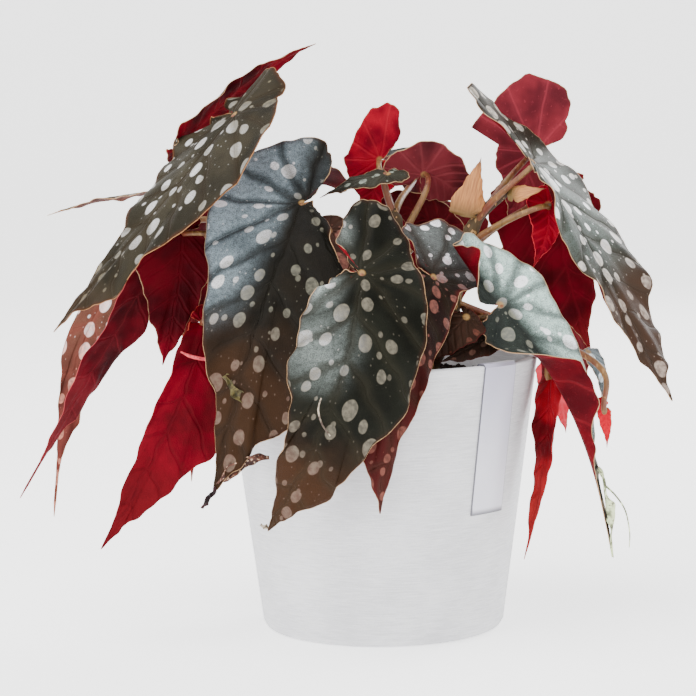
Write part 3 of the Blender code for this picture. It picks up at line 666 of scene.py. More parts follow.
# The colours of each leaf, on a screen's scale from 0 to 255. Silver places are (across, along, reach,
# strength) in lengths of the midrib, dots are (cell, radius) in millimetres, and a tip is (where it starts,
# colour). Halves say how much of the silver the broad and the narrow half take. The silver there is partly
# the leaf's own silver wash and partly painted sheen of the soft light glancing off the glossy skin.
DARK = {
    "deep": (42, 44, 37),
    "light": (66, 66, 55),
    "silver_and_sheen": (124, 132, 134),
    "places": ((0.10, 0.1, 0.45, 0.45),),
    "halves": (1.0, 1.0),
    "tip": (0.75, (88, 62, 44)),
    "vein": 0.25,
    "vein_colour": (96, 90, 70),
    "rust": (96, 60, 40),
    "dots": (13.5, 2.6),
    "dot": (160, 160, 148),
    "sheen_bright_dot": (250, 252, 254),
    "dot_browned": (150, 106, 86),
    # Undersides: reds set as they look with the light from behind, so the bright ones also hold painted glow
    # of that light shining through the thin blade.
    "under": ((112, 14, 24), (150, 26, 32)),
    "under_tip": (0.8, (150, 60, 46)),
    "under_vein": (172, 74, 72),
    "margin": (196, 180, 156),
}
LOOKS = {
    "leaf_tall_left": dict(
        deep=(60, 54, 38), light=(88, 80, 60), silver_and_sheen=(118, 114, 98), places=((-0.1, 0.3, 0.5, 0.5),),
        tip=(0.8, (112, 92, 72)), vein_colour=(98, 82, 56), dot=(154, 149, 132), dots=(13.5, 2.8),
        rust=(120, 80, 48), margin=(186, 162, 128),
    ),
    "leaf_top_left_red": dict(under=((96, 4, 16), (158, 16, 34)), under_tip=(0.75, (112, 26, 34))),
    "leaf_far_left_red": dict(
        under=((92, 6, 16), (140, 20, 34)), under_tip=(0.55, (150, 74, 72)), under_vein=(160, 66, 70),
        margin=(196, 130, 124),
    ),
    "leaf_far_left_brown": dict(
        deep=(100, 62, 44), light=(132, 88, 68), silver_and_sheen=(156, 126, 106), places=((0.0, 0.2, 0.4, 0.6),),
        tip=(0.55, (122, 60, 50)), vein_colour=(176, 128, 110), dot=(210, 178, 162), dots=(13.0, 2.8),
        rust=(150, 84, 60),
    ),
    "leaf_thin_left": dict(
        deep=(112, 96, 84), light=(142, 130, 114), silver_and_sheen=(160, 158, 146), tip=(0.8, (136, 142, 112)),
        dot=(176, 172, 160), dots=(9.0, 1.7), under=((120, 80, 70), (146, 112, 98)),
        under_vein=(170, 140, 128),
    ),
    "leaf_inner_left_red": dict(
        under=((100, 2, 14), (138, 8, 26)), under_tip=(0.7, (156, 14, 36)), under_vein=(140, 26, 38),
    ),
    "leaf_low_left_red": dict(
        under=((120, 0, 14), (150, 2, 24)), under_tip=(0.6, (140, 24, 24)), under_vein=(104, 2, 14),
        margin=(190, 120, 84),
    ),
    "leaf_front_left": dict(
        deep=(36, 31, 20), light=(56, 48, 34), silver_and_sheen=(184, 192, 195), halves=(1.0, 0.05),
        places=((0.36, -0.06, 0.56, 1.3), (0.32, 0.26, 0.36, 0.95), (-0.1, -0.12, 0.2, 2.0)),
        tip=(0.5, (96, 66, 34)),
        vein=0.3, vein_colour=(60, 60, 54), dot=(150, 148, 136), dots=(15.0, 2.9),
    ),
    "leaf_front_gap": dict(
        deep=(92, 62, 48), light=(130, 98, 82), dot=(184, 152, 138), dots=(13.0, 3.6), places=(),
        tip=(0.3, (96, 70, 56)),
    ),
    "leaf_front_middle": dict(
        deep=(34, 35, 24), light=(52, 54, 42), silver_and_sheen=(196, 201, 198), halves=(0.3, 1.0),
        places=((-0.19, 0.05, 0.17, 1.1), (-0.16, -0.16, 0.15, 0.8), (-0.1, 0.3, 0.2, 0.3)),
        tip=(0.62, (104, 70, 36)), dot=(152, 148, 136), dots=(15.0, 3.1), rust=(96, 60, 42),
    ),
    "leaf_front_right": dict(
        deep=(46, 27, 20), light=(70, 38, 28), silver_and_sheen=(150, 154, 152), halves=(0.7, 1.0),
        places=((0.0, -0.26, 0.32, 1.1),), tip=(0.4, (116, 42, 32)), dot=(164, 128, 114), dots=(12.0, 2.4),
        rust=(134, 48, 40),
    ),
    "leaf_right_rim": dict(
        deep=(40, 40, 30), light=(58, 56, 44), silver_and_sheen=(190, 200, 196), halves=(1.0, 0.04),
        places=((0.2, 0.05, 1.6, 1.4),), vein_colour=(104, 112, 110), dots=(12.0, 2.6),
        under=((112, 4, 14), (146, 12, 22)), under_tip=(0.6, (150, 34, 26)), rust=(120, 108, 96),
    ),
    "leaf_right_low": dict(
        deep=(48, 34, 26), light=(78, 56, 44), dot=(140, 126, 112), dots=(9.0, 1.2), tip=(0.3, (70, 36, 28)),
        places=(), margin=(120, 70, 58),
    ),
    "leaf_tall_right": dict(
        deep=(72, 64, 50), light=(98, 91, 75), silver_and_sheen=(146, 154, 150), halves=(1.0, 0.8),
        places=((0.0, 0.2, 0.42, 1.2),), tip=(0.5, (112, 86, 66)),
        vein_colour=(92, 92, 80), dot=(196, 192, 184), dots=(12.0, 2.7), rust=(96, 74, 58),
        under=((100, 4, 12), (150, 16, 26)),
    ),
    "leaf_top_right": dict(
        under=((128, 50, 58), (158, 74, 80)), under_tip=(0.9, (150, 60, 66)), under_vein=(190, 116, 122),
    ),
    "leaf_right_back": dict(under=((112, 2, 16), (150, 8, 28)), under_vein=(160, 40, 52)),
    "leaf_young_red": dict(
        under=((120, 0, 18), (172, 6, 34)), under_vein=(196, 60, 70), margin=(220, 120, 110),
    ),
    "leaf_middle_maroon": dict(under=((116, 48, 54), (152, 78, 82)), under_vein=(178, 120, 120)),
    "leaf_top_middle": dict(
        under=((138, 6, 28), (182, 30, 48)), under_tip=(0.9, (170, 24, 40)), under_vein=(196, 80, 82),
    ),
    "leaf_middle_back": dict(under=((110, 30, 36), (144, 50, 56))),
    "leaf_edge_on": dict(
        deep=(66, 68, 58), light=(104, 104, 92), dot=(176, 180, 172), dots=(8.0, 1.6), places=(),
        under=((120, 84, 72), (150, 110, 92)), under_vein=(170, 140, 120),
    ),
    "leaf_hanging_right": dict(
        under=((128, 8, 8), (178, 34, 24)), under_tip=(0.45, (170, 66, 42)), under_vein=(130, 14, 14),
        margin=(190, 100, 84),
    ),
    "leaf_pink_right": dict(under=((206, 76, 84), (234, 120, 124)), under_vein=(240, 160, 160)),
    "leaf_small_dotted": dict(
        deep=(128, 134, 134), light=(160, 168, 170), dot=(214, 218, 218), dots=(8.5, 1.8), places=(),
        vein_colour=(110, 116, 116), tip=(0.95, (150, 120, 112)), rust=(128, 128, 124),
    ),
    "leaf_small_red": dict(
        under=((140, 4, 10), (196, 24, 28)), under_vein=(216, 90, 84), deep=(140, 8, 10), light=(184, 28, 28),
        dot=(200, 60, 56), dots=(8.0, 1.0), tip=(0.9, (150, 20, 18)), places=(),
    ),
    "leaf_inside_right": dict(
        deep=(60, 32, 22), light=(98, 62, 44), dot=(150, 108, 88), dots=(10.0, 1.6), places=(),
        tip=(0.5, (84, 42, 30)), margin=(130, 56, 50),
    ),
}
JOINT_TONE = (182, 164, 124)
RED_LEAVES = (
    "leaf_top_left_red", "leaf_far_left_red", "leaf_inner_left_red", "leaf_low_left_red", "leaf_top_right",
    "leaf_right_back", "leaf_young_red", "leaf_middle_maroon", "leaf_top_middle", "leaf_hanging_right",
    "leaf_pink_right", "leaf_small_red",
)


def smooth_ring(points, per):
    """A closed smooth line through the points, with the given number of steps between two of them."""
    points = np.asarray(points, float)
    before, after, beyond = (np.roll(points, shift, axis=0) for shift in (1, -1, -2))
    steps = np.arange(per)[None, :, None] / per
    here, before, after, beyond = (part[:, None, :] for part in (points, before, after, beyond))
    ring = 2 * here + (after - before) * steps
    ring = ring + (2 * before - 5 * here + 4 * after - beyond) * steps**2
    ring = ring + (3 * here - before - 3 * after + beyond) * steps**3
    return 0.5 * ring.reshape(-1, 2)


def unit(vectors):
    vectors = np.asarray(vectors, float)
    return vectors / np.linalg.norm(vectors, axis=-1, keepdims=True)


def blend_sides(lateral, broad, narrow):
    return np.where(lateral > 0, broad, narrow)


def midrib(shape, along):
    """Place, direction and upper normal of the midrib, and its length; the lobe bends behind the base."""
    base, middle, tip = (np.array(shape[name], float) for name in ("base", "middle", "tip"))
    bow = 2 * middle - 0.5 * (base + tip)
    fine = np.linspace(0, 1, 60)[:, None]
    curve = (1 - fine) ** 2 * base + 2 * fine * (1 - fine) * bow + fine**2 * tip
    travelled = np.concatenate([[0], np.cumsum(np.linalg.norm(np.diff(curve, axis=0), axis=1))])
    length = travelled[-1]
    share = np.clip(along, 0, 1)
    at = np.interp(share * length, travelled, fine[:, 0])[:, None]
    place = (1 - at) ** 2 * base + 2 * at * (1 - at) * bow + at**2 * tip
    ahead = unit((1 - at) * (bow - base) + at * (tip - bow))
    up = unit(shape["faces"]) * (1 - share[:, None]) + unit(shape["tip_faces"]) * share[:, None]
    up = unit(up - (up * ahead).sum(axis=1, keepdims=True) * ahead)
    start = unit(bow - base)
    rise = unit(shape["faces"])
    rise = unit(rise - rise @ start * start)
    reach = -np.minimum(along, 0) * length
    rate = np.radians(shape["lobe_bend"]) / (LOBE_REACH * length) or 1e-6
    angle = (rate * reach)[:, None]
    behind = (along < 0)[:, None]
    bent = base - np.sin(angle) / rate * start - (1 - np.cos(angle)) / rate * rise
    place = np.where(behind, bent, place)
    ahead = np.where(behind, np.cos(angle) * start + np.sin(angle) * rise, ahead)
    up = np.where(behind, np.cos(angle) * rise - np.sin(angle) * start, up)
    return place, ahead, up, length


def to_vein(across, along):
    """How far a place on the flat blade is from the nearest vein, in midrib lengths."""
    side = np.abs(across)
    rib = along - side * RIB_SLANT
    to_rib = np.abs(np.mod(rib / RIB_GAP + 0.5, 1) - 0.5) * RIB_GAP * 0.7
    turn = (np.arctan2(side, along) - FIRST_FAN) / FAN_TURN
    to_fan = np.abs(np.mod(turn + 0.5, 1) - 0.5) * FAN_TURN * np.hypot(side, along)
    return np.minimum(side, np.where(rib < 0, to_fan, to_rib))


def wavy_outline(shape, per, seed):
    """The flat outline of one leaf as (along, across), with its own uneven margin."""
    outline = smooth_ring(OUTLINE, per)
    turn = np.arange(len(outline)) / len(outline)
    waves = ((0.011, 6), (0.010, 13), (0.006, 23), (0.003, 47))
    wobble = sum(size * np.sin(2 * np.pi * count * turn + seed * (count + 1.7)) for size, count in waves)
    wobble = wobble * np.clip(np.abs(outline[:, 1]) / 0.10, 0, 1)
    tangent = unit(np.roll(outline, -1, axis=0) - np.roll(outline, 1, axis=0))
    return outline + np.stack([tangent[:, 1], -tangent[:, 0]], axis=1) * wobble[:, None]


def blade_sheet(shape, per, rings, seed):
    """Middle surface of a blade: points, faces, how many lie round the edge, and each one's flat place."""
    outline = wavy_outline(shape, per, seed)
    around = len(outline)
    along, lateral = outline.T
    along = np.where(along < 0, along * shape["lobe"], along)
    along = np.where((along > 0) & (along < TAIL_START), along * (1 - shape["tail"]), along)
    lateral = lateral * shape["width"] * blend_sides(lateral, shape["broad_width"], shape["narrow_width"])
    late = shape["late"] + blend_sides(lateral, 0, shape["narrow_late"])
    lateral = lateral * (1 + late * np.clip(along, 0, 1))
    lateral = lateral * (1 + (shape["lobe_width"] - 1) * np.clip(-along / LOBE_REACH * 2, 0, 1))
    out = np.arange(1, rings + 1) / rings
    along = np.concatenate([[0], np.outer(out, along).ravel()])
    lateral = np.concatenate([[0], np.outer(out, lateral).ravel()])
    reached = np.concatenate([[0], np.repeat(out, around)])
    turn = np.concatenate([[0], np.tile(np.arange(around) / around, rings)])
    place, ahead, up, length = midrib(shape, along)
    side = np.cross(up, ahead) * shape["broad"]
    spread = np.abs(lateral) * length
    fold = blend_sides(lateral, *shape["fold"])
    if shape["lobe_fold"]:
        back = np.clip(-along / LOBE_REACH, 0, 1)
        fold = fold + (blend_sides(lateral, *shape["lobe_fold"]) - fold) * back
    if shape["late_fold"]:
        curled = np.clip((along - CURL_START) / (CURL_END - CURL_START), 0, 1)
        fold = fold + (blend_sides(lateral, *shape["late_fold"]) - fold) * curled
    angle = np.radians(fold) * spread / (spread + CREASE * length)
    across = side * (np.sign(lateral) * spread * np.cos(angle))[:, None]
    points = place + across + up * (spread * np.sin(angle))[:, None]
    ripple = WAVE * reached**3 * np.sin(2 * np.pi * WAVES * turn)
    frill = FRILL * reached**5 * np.sin(2 * np.pi * FRILLS * turn + seed)
    swell = SWELL * np.sin(9 * along + seed) * np.sin(13 * lateral + 2 * seed)
    edgewise = np.clip(spread / (0.1 * length), 0, 1)
    quilt = QUILT * np.clip(to_vein(lateral, along) / QUILT_REACH, 0, 1)
    relief = (ripple + frill) * edgewise + swell * edgewise + quilt * np.clip(reached * 4, 0, 1)
    points = points + up * (relief * length)[:, None]
    hub = [(0, 1 + i, 1 + (i + 1) % around) for i in range(around)]
    ring_at = 1 + np.arange(rings - 1)[:, None] * around
    here, after = np.arange(around), (np.arange(around) + 1) % around
    outer_at = ring_at + around
    quads = np.stack([ring_at + here, outer_at + here, outer_at + after, ring_at + after], axis=2)
    faces = hub + quads.reshape(-1, 4).tolist()
    if shape["broad"] < 0:
        faces = [face[::-1] for face in faces]
    return points, faces, around, np.stack([lateral, along, reached], axis=1)


def sheet_normals(points, faces):
    normals = np.zeros_like(points)
    for size in (3, 4):
        corners = np.array([face for face in faces if len(face) == size])
        first, second, third, last = (points[corners[:, at]] for at in (0, 1, 2, -1))
        ways = (second - first, third - first) if size == 3 else (third - first, last - second)
        for corner in range(size):
            np.add.at(normals, corners[:, corner], np.cross(*ways))
    return unit(normals)


def blade_mesh(name, shape, seed, thick=1.0):
    """A thin closed blade with the flat place of each point and which skin it is on kept as attributes."""
    length = midrib(shape, np.zeros(1))[3]
    per = 12 if length > 70 else 8
    points, faces, around, flat = blade_sheet(shape, per, int(12 + length / 5), seed)
    normals = sheet_normals(points, faces)
    half = thick * (BLADE_THICK + (MARGIN_THICK - BLADE_THICK) * flat[:, 2:]) / 2
    count = len(points)
    edge = np.arange(count - around, count)
    following = np.roll(edge, -1)
    if shape["broad"] < 0:
        edge, following = following, edge
    rim = np.stack([following, edge, edge + count, following + count], axis=1).tolist()
    lower = [[corner + count for corner in face[::-1]] for face in faces]
    skins = np.vstack([points + normals * half, points - normals * half])
    mesh = mesh_of(name, skins, faces + lower + rim)
    keep(mesh, "blade", np.vstack([flat, flat]))
    keep(mesh, "upper", np.repeat((1.0, 0.0), count))
    return mesh, length


def shaken(skin, place, scale, detail, reach):
    """A soft push either way along the flat blade, uneven from place to place."""
    noise = skin.node("TexNoise", None, {"Vector": place, "Scale": scale, "Detail": detail}, "Color")
    return skin.vector("MULTIPLY", skin.vector("SUBTRACT", noise, (0.5, 0.5, 0.5)), (reach, reach, 0.0))


def spots(skin, flat, origin, cell, size, share):
    """Pale spots, one to a cell and uneven in size, drawn out away from the leaf's joint."""
    place = skin.vector("ADD", skin.vector("MULTIPLY", flat, (1 / cell, 1 / cell, 0.0)), origin)
    place = skin.vector("ADD", place, shaken(skin, place, 1.6, 2.0, 0.12))
    grid = {"Vector": place, "Scale": 1.0, "Randomness": 0.62}
    centre = skin.node("TexVoronoi", {"voronoi_dimensions": "2D"}, grid, "Position")
    draw = skin.split(centre.beside("Color"))
    away = skin.vector("SUBTRACT", place, centre)
    outward = skin.vector("NORMALIZE", skin.vector("SUBTRACT", centre, origin))
    drawn = skin.vector("DOT_PRODUCT", away, outward, out="Value")
    reach = skin.vector("DOT_PRODUCT", away, away, out="Value") - 0.5 * drawn * drawn
    radius = (0.6 + 0.6 * draw) * (size / cell)
    inside = (radius - reach.math("SQRT", reach)).eased(-0.10 / cell, 0.35 / cell)
    return inside * (draw.beside("Y") < share)


def leaf_finish(name, length, look, seed):
    """The skins of one leaf, painted in the blade's flat place, so that spots and veins follow it."""
    skin = Finish(name, {"Specular IOR Level": 0.05})
    place = skin.read("blade", "Vector")
    upper = skin.read("upper")
    flat = skin.vector("MULTIPLY", place, (length, length, 0.0))
    origin = (seed * 3.1, seed * 1.7, 0.0)
    blotch = skin.mottle(22.0, 3.0, place=skin.vector("ADD", flat, (seed * 31.0, seed * 17.0, 0.0)))
    fleck = skin.mottle(2.2, place=flat)
    grain = skin.mottle(0.55, place=flat)
    split = skin.split(skin.vector("ADD", place, shaken(skin, flat, 0.06, 1.0, 0.06)))
    side, along, reached = abs(split), split.beside("Y"), split.beside("Z")
    from_joint = skin.vector("LENGTH", flat, out="Value")
    from_margin = from_joint * (1 / reached - 1)
    rib = along - side * RIB_SLANT
    to_rib = abs((rib / RIB_GAP + 0.5).math("FRACT", rib / RIB_GAP + 0.5) - 0.5) * (RIB_GAP * 0.7 * length)
    turn = (side.math("ARCTAN2", side, along) - FIRST_FAN) / FAN_TURN + 0.5
    to_fan = abs(turn.math("FRACT", turn) - 0.5) * from_joint * FAN_TURN
    fan = rib < 0.0
    to_side_vein = to_fan * fan + to_rib * (1 - fan)
    to_any = side.math("MINIMUM", side * length, to_side_vein)
    vein = 1 - to_any.eased(0.15, 0.9)
    soft_vein = 1 - to_any.eased(0.0, 4.0)

    # Silver patches: partly the leaf's silver wash, partly painted sheen of the soft light on the glossy
    # skin, fading round each listed place and thinner on the veins.
    on_broad, on_narrow = look["halves"]
    half = on_narrow + (on_broad - on_narrow) * split.eased(0.0, 0.09)
    silver_and_sheen = 0.0 * along
    for spot_across, spot_along, reach, strength in look["places"]:
        centre = (spot_across * length, spot_along * length, 0.0)
        near = 1 - (skin.vector("DISTANCE", flat, centre, out="Value") / (reach * length)).eased(0.1, 1.0)
        silver_and_sheen = silver_and_sheen.math("MAXIMUM", silver_and_sheen, (near * strength * half * (0.25 + 0.95 * blotch)).held())
    stipple = 0.4 + 0.35 * fleck.eased(0.3, 0.7) + 0.45 * grain.eased(0.35, 0.6)
    silver_and_sheen = (silver_and_sheen * stipple * (0.45 + 0.55 * to_any.eased(0.6, 3.6))).held()
    start, tip_colour = look["tip"]
    browned = (along + 0.25 * blotch).eased(start, start + 0.3)
    rusty = 1 - (from_margin + 3.0 * blotch).eased(1.2, 4.5)
    tone = skin.coats(
        look["deep"],
        (blotch.eased(0.35, 0.65), look["light"]),
        (silver_and_sheen, look["silver_and_sheen"]),
        (browned * 0.85, tip_colour),
        (soft_vein * look["vein"], look["vein_colour"]),
        (rusty * 0.6, look["rust"]),
    )
    cell, size = look["dots"]
    dots = spots(skin, flat, origin, cell, size, 0.92)
    small = spots(skin, flat, (origin[0] + 9.0, origin[1] + 4.0, 0.0), cell * 0.6, size * 0.4, 0.36)
    specks = spots(skin, flat, (origin[0] + 3.0, origin[1] + 8.0, 0.0), cell * 0.22, size * 0.13, 0.22)
    # Spots turn near white where the silver and painted sheen lie: a painted highlight on the spots as well.
    dot_tone = skin.coats(
        look["dot"],
        (fleck.eased(0.3, 0.7), 0.84 * np.array(look["dot"])),
        ((1.5 * silver_and_sheen).held(), look["sheen_bright_dot"]),
        (browned * 0.4, look["dot_browned"]),
    )
    marks = dots.math("MAXIMUM", dots, small * 0.85)
    marks = marks.math("MAXIMUM", marks, specks * 0.6) * from_margin.eased(0.5, 1.6)
    above = skin.mix(marks * 0.9, tone, dot_tone)

    start, tip_colour = look["under_tip"]
    red = skin.coats(
        look["under"][0],
        (blotch.eased(0.36, 0.64), look["under"][1]),
        ((along + 0.25 * blotch).eased(start, start + 0.4), tip_colour),
        (vein * 0.18 + 0.1 * soft_vein, look["under_vein"]),
        (fleck.eased(0.62, 0.75) * 0.25, look["under_vein"]),
    )

    line = 1 - (from_margin + 0.5 * fleck).eased(0.3, 0.7)
    joint = 1 - from_joint.eased(0.9, 2.2)
    both = skin.mix(upper.eased(0.4, 0.6), red, above)
    both = skin.coats(both, (line * 0.8, look["margin"]), (joint * 0.8, JOINT_TONE))
    skin.give("Base Color", both)
    skin.give("Roughness", 0.56 - 0.16 * upper - 0.06 * marks * upper + 0.1 * blotch)
    skin.raise_by(0.5 * grain - 0.7 * vein, 0.0004)
    return skin.material


for seed, (leaf_name, shape) in enumerate(LEAVES.items(), 1):
    blade, blade_length = blade_mesh(leaf_name + "_blade", shape, seed)
    skin = leaf_finish(leaf_name + "_skin", blade_length, {**DARK, **LOOKS.get(leaf_name, {})}, seed)
    blade_slot = "leaf_red" if leaf_name in RED_LEAVES else "leaf_green"
    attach(show(leaf_name + "_blade", blade, skin, leaf_name), "root")

# Stems: three woody canes thickened at each joint, and the juicy stalk of each leaf curving from its joint
# to the blade. Each line is swept with a round profile as wide as the girth kept on its points.
CANES = {
    "left": dict(line=((-20, 8, 120), (-30, 10, 150), (-48, 10, 185), (-70, 8, 215)), radii=(4.2, 2.6)),
    "middle": dict(line=((0, 0, 120), (3, -2, 150), (9, 2, 180), (6, 4, 200)), radii=(4.0, 2.4)),
    "right": dict(line=((24, 5, 120), (34, 6, 150), (45, 10, 190), (62, 5, 209)), radii=(4.2, 2.4)),
}
CANE_DEPTH = 45.0
CANE_STEPS = 14
STALK_RADII = (1.9, 1.15)
STALK_STEPS = 26
STALK_INSET = 1.5
STALK_CLEAR = 1.1
STALK_LEAD = 0.35
STALK_RISE = 0.5
STALK_FLARE = 0.25
FLARE_REACH = 2.5
STALK_END = 0.45
JOINT_SWELL = 0.28
JOINT_REACH = 3.0
CANE_MOST = 1.35
STEM_SIDES = 14


def smooth_line(points, per):
    """An open smooth line through the points."""
    points = np.asarray(points, float)
    ends = (2 * points[0] - points[1], 2 * points[-1] - points[-2])
    padded = np.vstack([ends[0], points, ends[1]])
    line = []
    for before, here, after, beyond in zip(padded, padded[1:], padded[2:], padded[3:]):
        for step in np.arange(per) / per:
            slope = (after - before) * step
            square = (2 * before - 5 * here + 4 * after - beyond) * step**2
            cube = (3 * here - before - 3 * after + beyond) * step**3
            line.append(0.5 * (2 * here + slope + square + cube))
    return np.array(line + [points[-1]])


def stalk_line(shape, start):
    """From inside the cane to the joint: square to the blade, from a given side, or over a given point."""
    base = np.array(shape["base"], float)
    _, ahead, up, length = midrib(shape, np.array([0.0, 0.02]))
    radius = STALK_RADII[1]
    way = -up[0] if shape["petiole_from"] is None else unit(shape["petiole_from"])
    if shape["petiole_over"]:
        way = unit(shape["petiole_over"] - base)
    tilt = np.sqrt(1 - min(1.0, (way @ up[0]) ** 2))
    crease = radius / (radius + CREASE * length)
    droop = radius * np.sin(np.radians(max(0, -min(shape["fold"]))) * crease)
    end = base + ahead[0] * STALK_INSET - up[0] * (STALK_CLEAR + radius * tilt + droop)
    if shape["petiole_over"]:
        path = smooth_line([start, shape["petiole_over"], end], STALK_STEPS // 2)
    else:
        reach = np.linalg.norm(end - start)
        leave = start + unit(end - start + (0, 0, STALK_RISE * reach)) * reach * STALK_LEAD
        arrive = end + way * reach * STALK_LEAD
        at = np.linspace(0, 1, STALK_STEPS)[:, None]
        near = (1 - at) ** 3 * start + 3 * at * (1 - at) ** 2 * leave
        path = near + 3 * at**2 * (1 - at) * arrive + at**3 * end
    return np.vstack([path, (path[-1] + 2 * base) / 3, base - up[0] * 0.1])


def lines_mesh(name, lines):
    """Loose edges along each (line, girth, woody), with the girth and the kind kept on the points."""
    points = np.vstack([line for line, _, _ in lines])
    starts = np.cumsum([0] + [len(line) for line, _, _ in lines])
    edges = [(i, i + 1) for first, end in zip(starts, starts[1:]) for i in range(first, end - 1)]
    mesh = mesh_of(name, points, [], edges)
    keep(mesh, "girth", np.concatenate([girths for _, girths, _ in lines]) * MM)
    keep(mesh, "woody", np.concatenate([np.full(len(line), kind) for line, _, kind in lines]))
    return mesh


def stem_lines(cane_name):
    """The cane, swollen where a leaf springs, then the stalk of each of its leaves."""
    cane = CANES[cane_name]
    foot = np.array(cane["line"][0], float) - (0, 0, CANE_DEPTH)
    line = smooth_line(np.vstack([foot, cane["line"]]), CANE_STEPS)
    girths = np.linspace(*cane["radii"], len(line))
    lines = []
    for shape in LEAVES.values():
        if shape["cane"] != cane_name:
            continue
        girths = girths * (1 + JOINT_SWELL * np.exp(-(((line[:, 2] - shape["height"]) / JOINT_REACH) ** 2)))
        start = np.array([np.interp(shape["height"], line[:, 2], line[:, axis]) for axis in range(3)])
        path = stalk_line(shape, start)
        stalk = np.linspace(*STALK_RADII, len(path))
        from_blade = np.linalg.norm(path - path[-1], axis=1)
        stalk = stalk * (1 + STALK_FLARE * np.exp(-from_blade / FLARE_REACH))
        stalk[-1] *= STALK_END
        lines.append((path, stalk, 0.0))
    return [(line, np.minimum(girths, cane["radii"][0] * CANE_MOST), 1.0)] + lines


def sweep_tree():
    """Sweeps a round profile along loose edges: inputs are the sides of the profile and the finish."""
    inputs = {"Lines": "Geometry", "Sides": "Int", "Finish": "Material"}
    nodes = {
        "curve": ("GeometryNodeMeshToCurve", {}, {}),
        "girth": ("GeometryNodeInputNamedAttribute", {}, {"Name": "girth"}),
        "profile": ("GeometryNodeCurvePrimitiveCircle", {}, {"Radius": 1.0}),
        "tube": ("GeometryNodeCurveToMesh", {}, {"Fill Caps": True}),
        "smooth": ("GeometryNodeSetShadeSmooth", {}, {}),
    }
    links = (
        ("given", "Lines", "curve", "Mesh"),
        ("given", "Sides", "profile", "Resolution"),
        ("curve", "Curve", "tube", "Curve"),
        ("profile", "Curve", "tube", "Profile Curve"),
        ("girth", "Attribute", "tube", "Scale"),
        ("tube", "Mesh", "smooth", "Geometry"),
        ("smooth", "Geometry", "real", 0),
    )
    return node_tree("sweep_lines", inputs, nodes, links)


stem_skin = Finish("stem_skin", {"Specular IOR Level": 0.4})
woody = stem_skin.read("woody")
stem_streak = stem_skin.mottle(0.0016, 3.0, stretch=(1.0, 1.0, 0.16))
stem_cloud = stem_skin.mottle(0.014).eased(0.35, 0.65)
stem_pore = stem_skin.mottle(0.0013, 0.0, stretch=(1.0, 1.0, 0.5))
stalk_tone = stem_skin.coats((158, 108, 70), (stem_cloud, (164, 142, 88)))
cane_tone = stem_skin.coats((112, 90, 56), (stem_cloud, (140, 124, 78)))
stem_tone = stem_skin.coats(
    stem_skin.mix(woody, stalk_tone, cane_tone),
    (stem_streak.eased(0.45, 0.7) * 0.5, (112, 66, 40)),
    (stem_pore.eased(0.68, 0.74) * (0.35 + 0.4 * woody), (196, 176, 134)),
)
stem_skin.give("Base Color", stem_tone)
stem_skin.give("Roughness", 0.42 + 0.25 * woody + 0.1 * stem_streak)
stem_skin.raise_by(stem_streak, 0.0003)
sweep = sweep_tree()
for cane_name in CANES:
    lines = lines_mesh("canes_" + cane_name, stem_lines(cane_name))
    stem = show("canes_" + cane_name, lines, stem_skin.material)
    stem.data = grown(stem, sweep, {"Sides": STEM_SIDES, "Finish": stem_skin.material})
    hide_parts("stem_" + cane_name)
    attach(stem, "root")

# Sheaths: two papery husks left where the youngest leaves unfolded, tan and streaked lengthwise, cupped and
# thin.
SHEATHS = {
    "stipule_tall": leaf(
        (43, 4.1, 197), (46, 3.4, 211), (49, 2.1, 224), (0.2, -0.9, 0.1), "right", 0, width=1.1,
        lobe=0.2,
    ),
    "stipule_right": leaf(
        (64, 0, 205.3), (71, -4, 207.3), (79, -7, 209.3), (0.2, -0.9, 0.3), "right", 0, width=0.9,
        lobe=0.6,
    ),
}

sheath_skin = Finish("sheath_skin", {"Specular IOR Level": 0.35, "Roughness": 0.5})
husk_place = sheath_skin.read("blade", "Vector")
husk_streak = sheath_skin.mottle(1.0, place=husk_place, stretch=(40.0, 3.0, 0.0))
husk_along = sheath_skin.split(husk_place, "Y")
husk_tone = sheath_skin.coats(
    (184, 150, 98),
    (husk_streak.eased(0.35, 0.65), (198, 168, 114)),
    (1 - husk_along.eased(-0.1, 0.3), (150, 132, 78)),
    (husk_along.eased(0.7, 1.0) * 0.8, (112, 62, 42)),
)
sheath_skin.give("Base Color", husk_tone)
sheath_skin.raise_by(husk_streak, 0.00005)
for seed, (sheath_name, shape) in enumerate(SHEATHS.items(), 41):
    husk, _ = blade_mesh(sheath_name + "_husk", shape, seed, thick=0.8)
    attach(show(sheath_name + "_husk", husk, sheath_skin.material, sheath_name), "root")

# Dried bits: shrivelled tips and curls that hang on the oldest leaves, each a crumpled ribbon of thin dead
# skin, and a few dry threads swept like the stems.
SCRAP_THICK = 0.25
SCRAP_ACROSS = 9


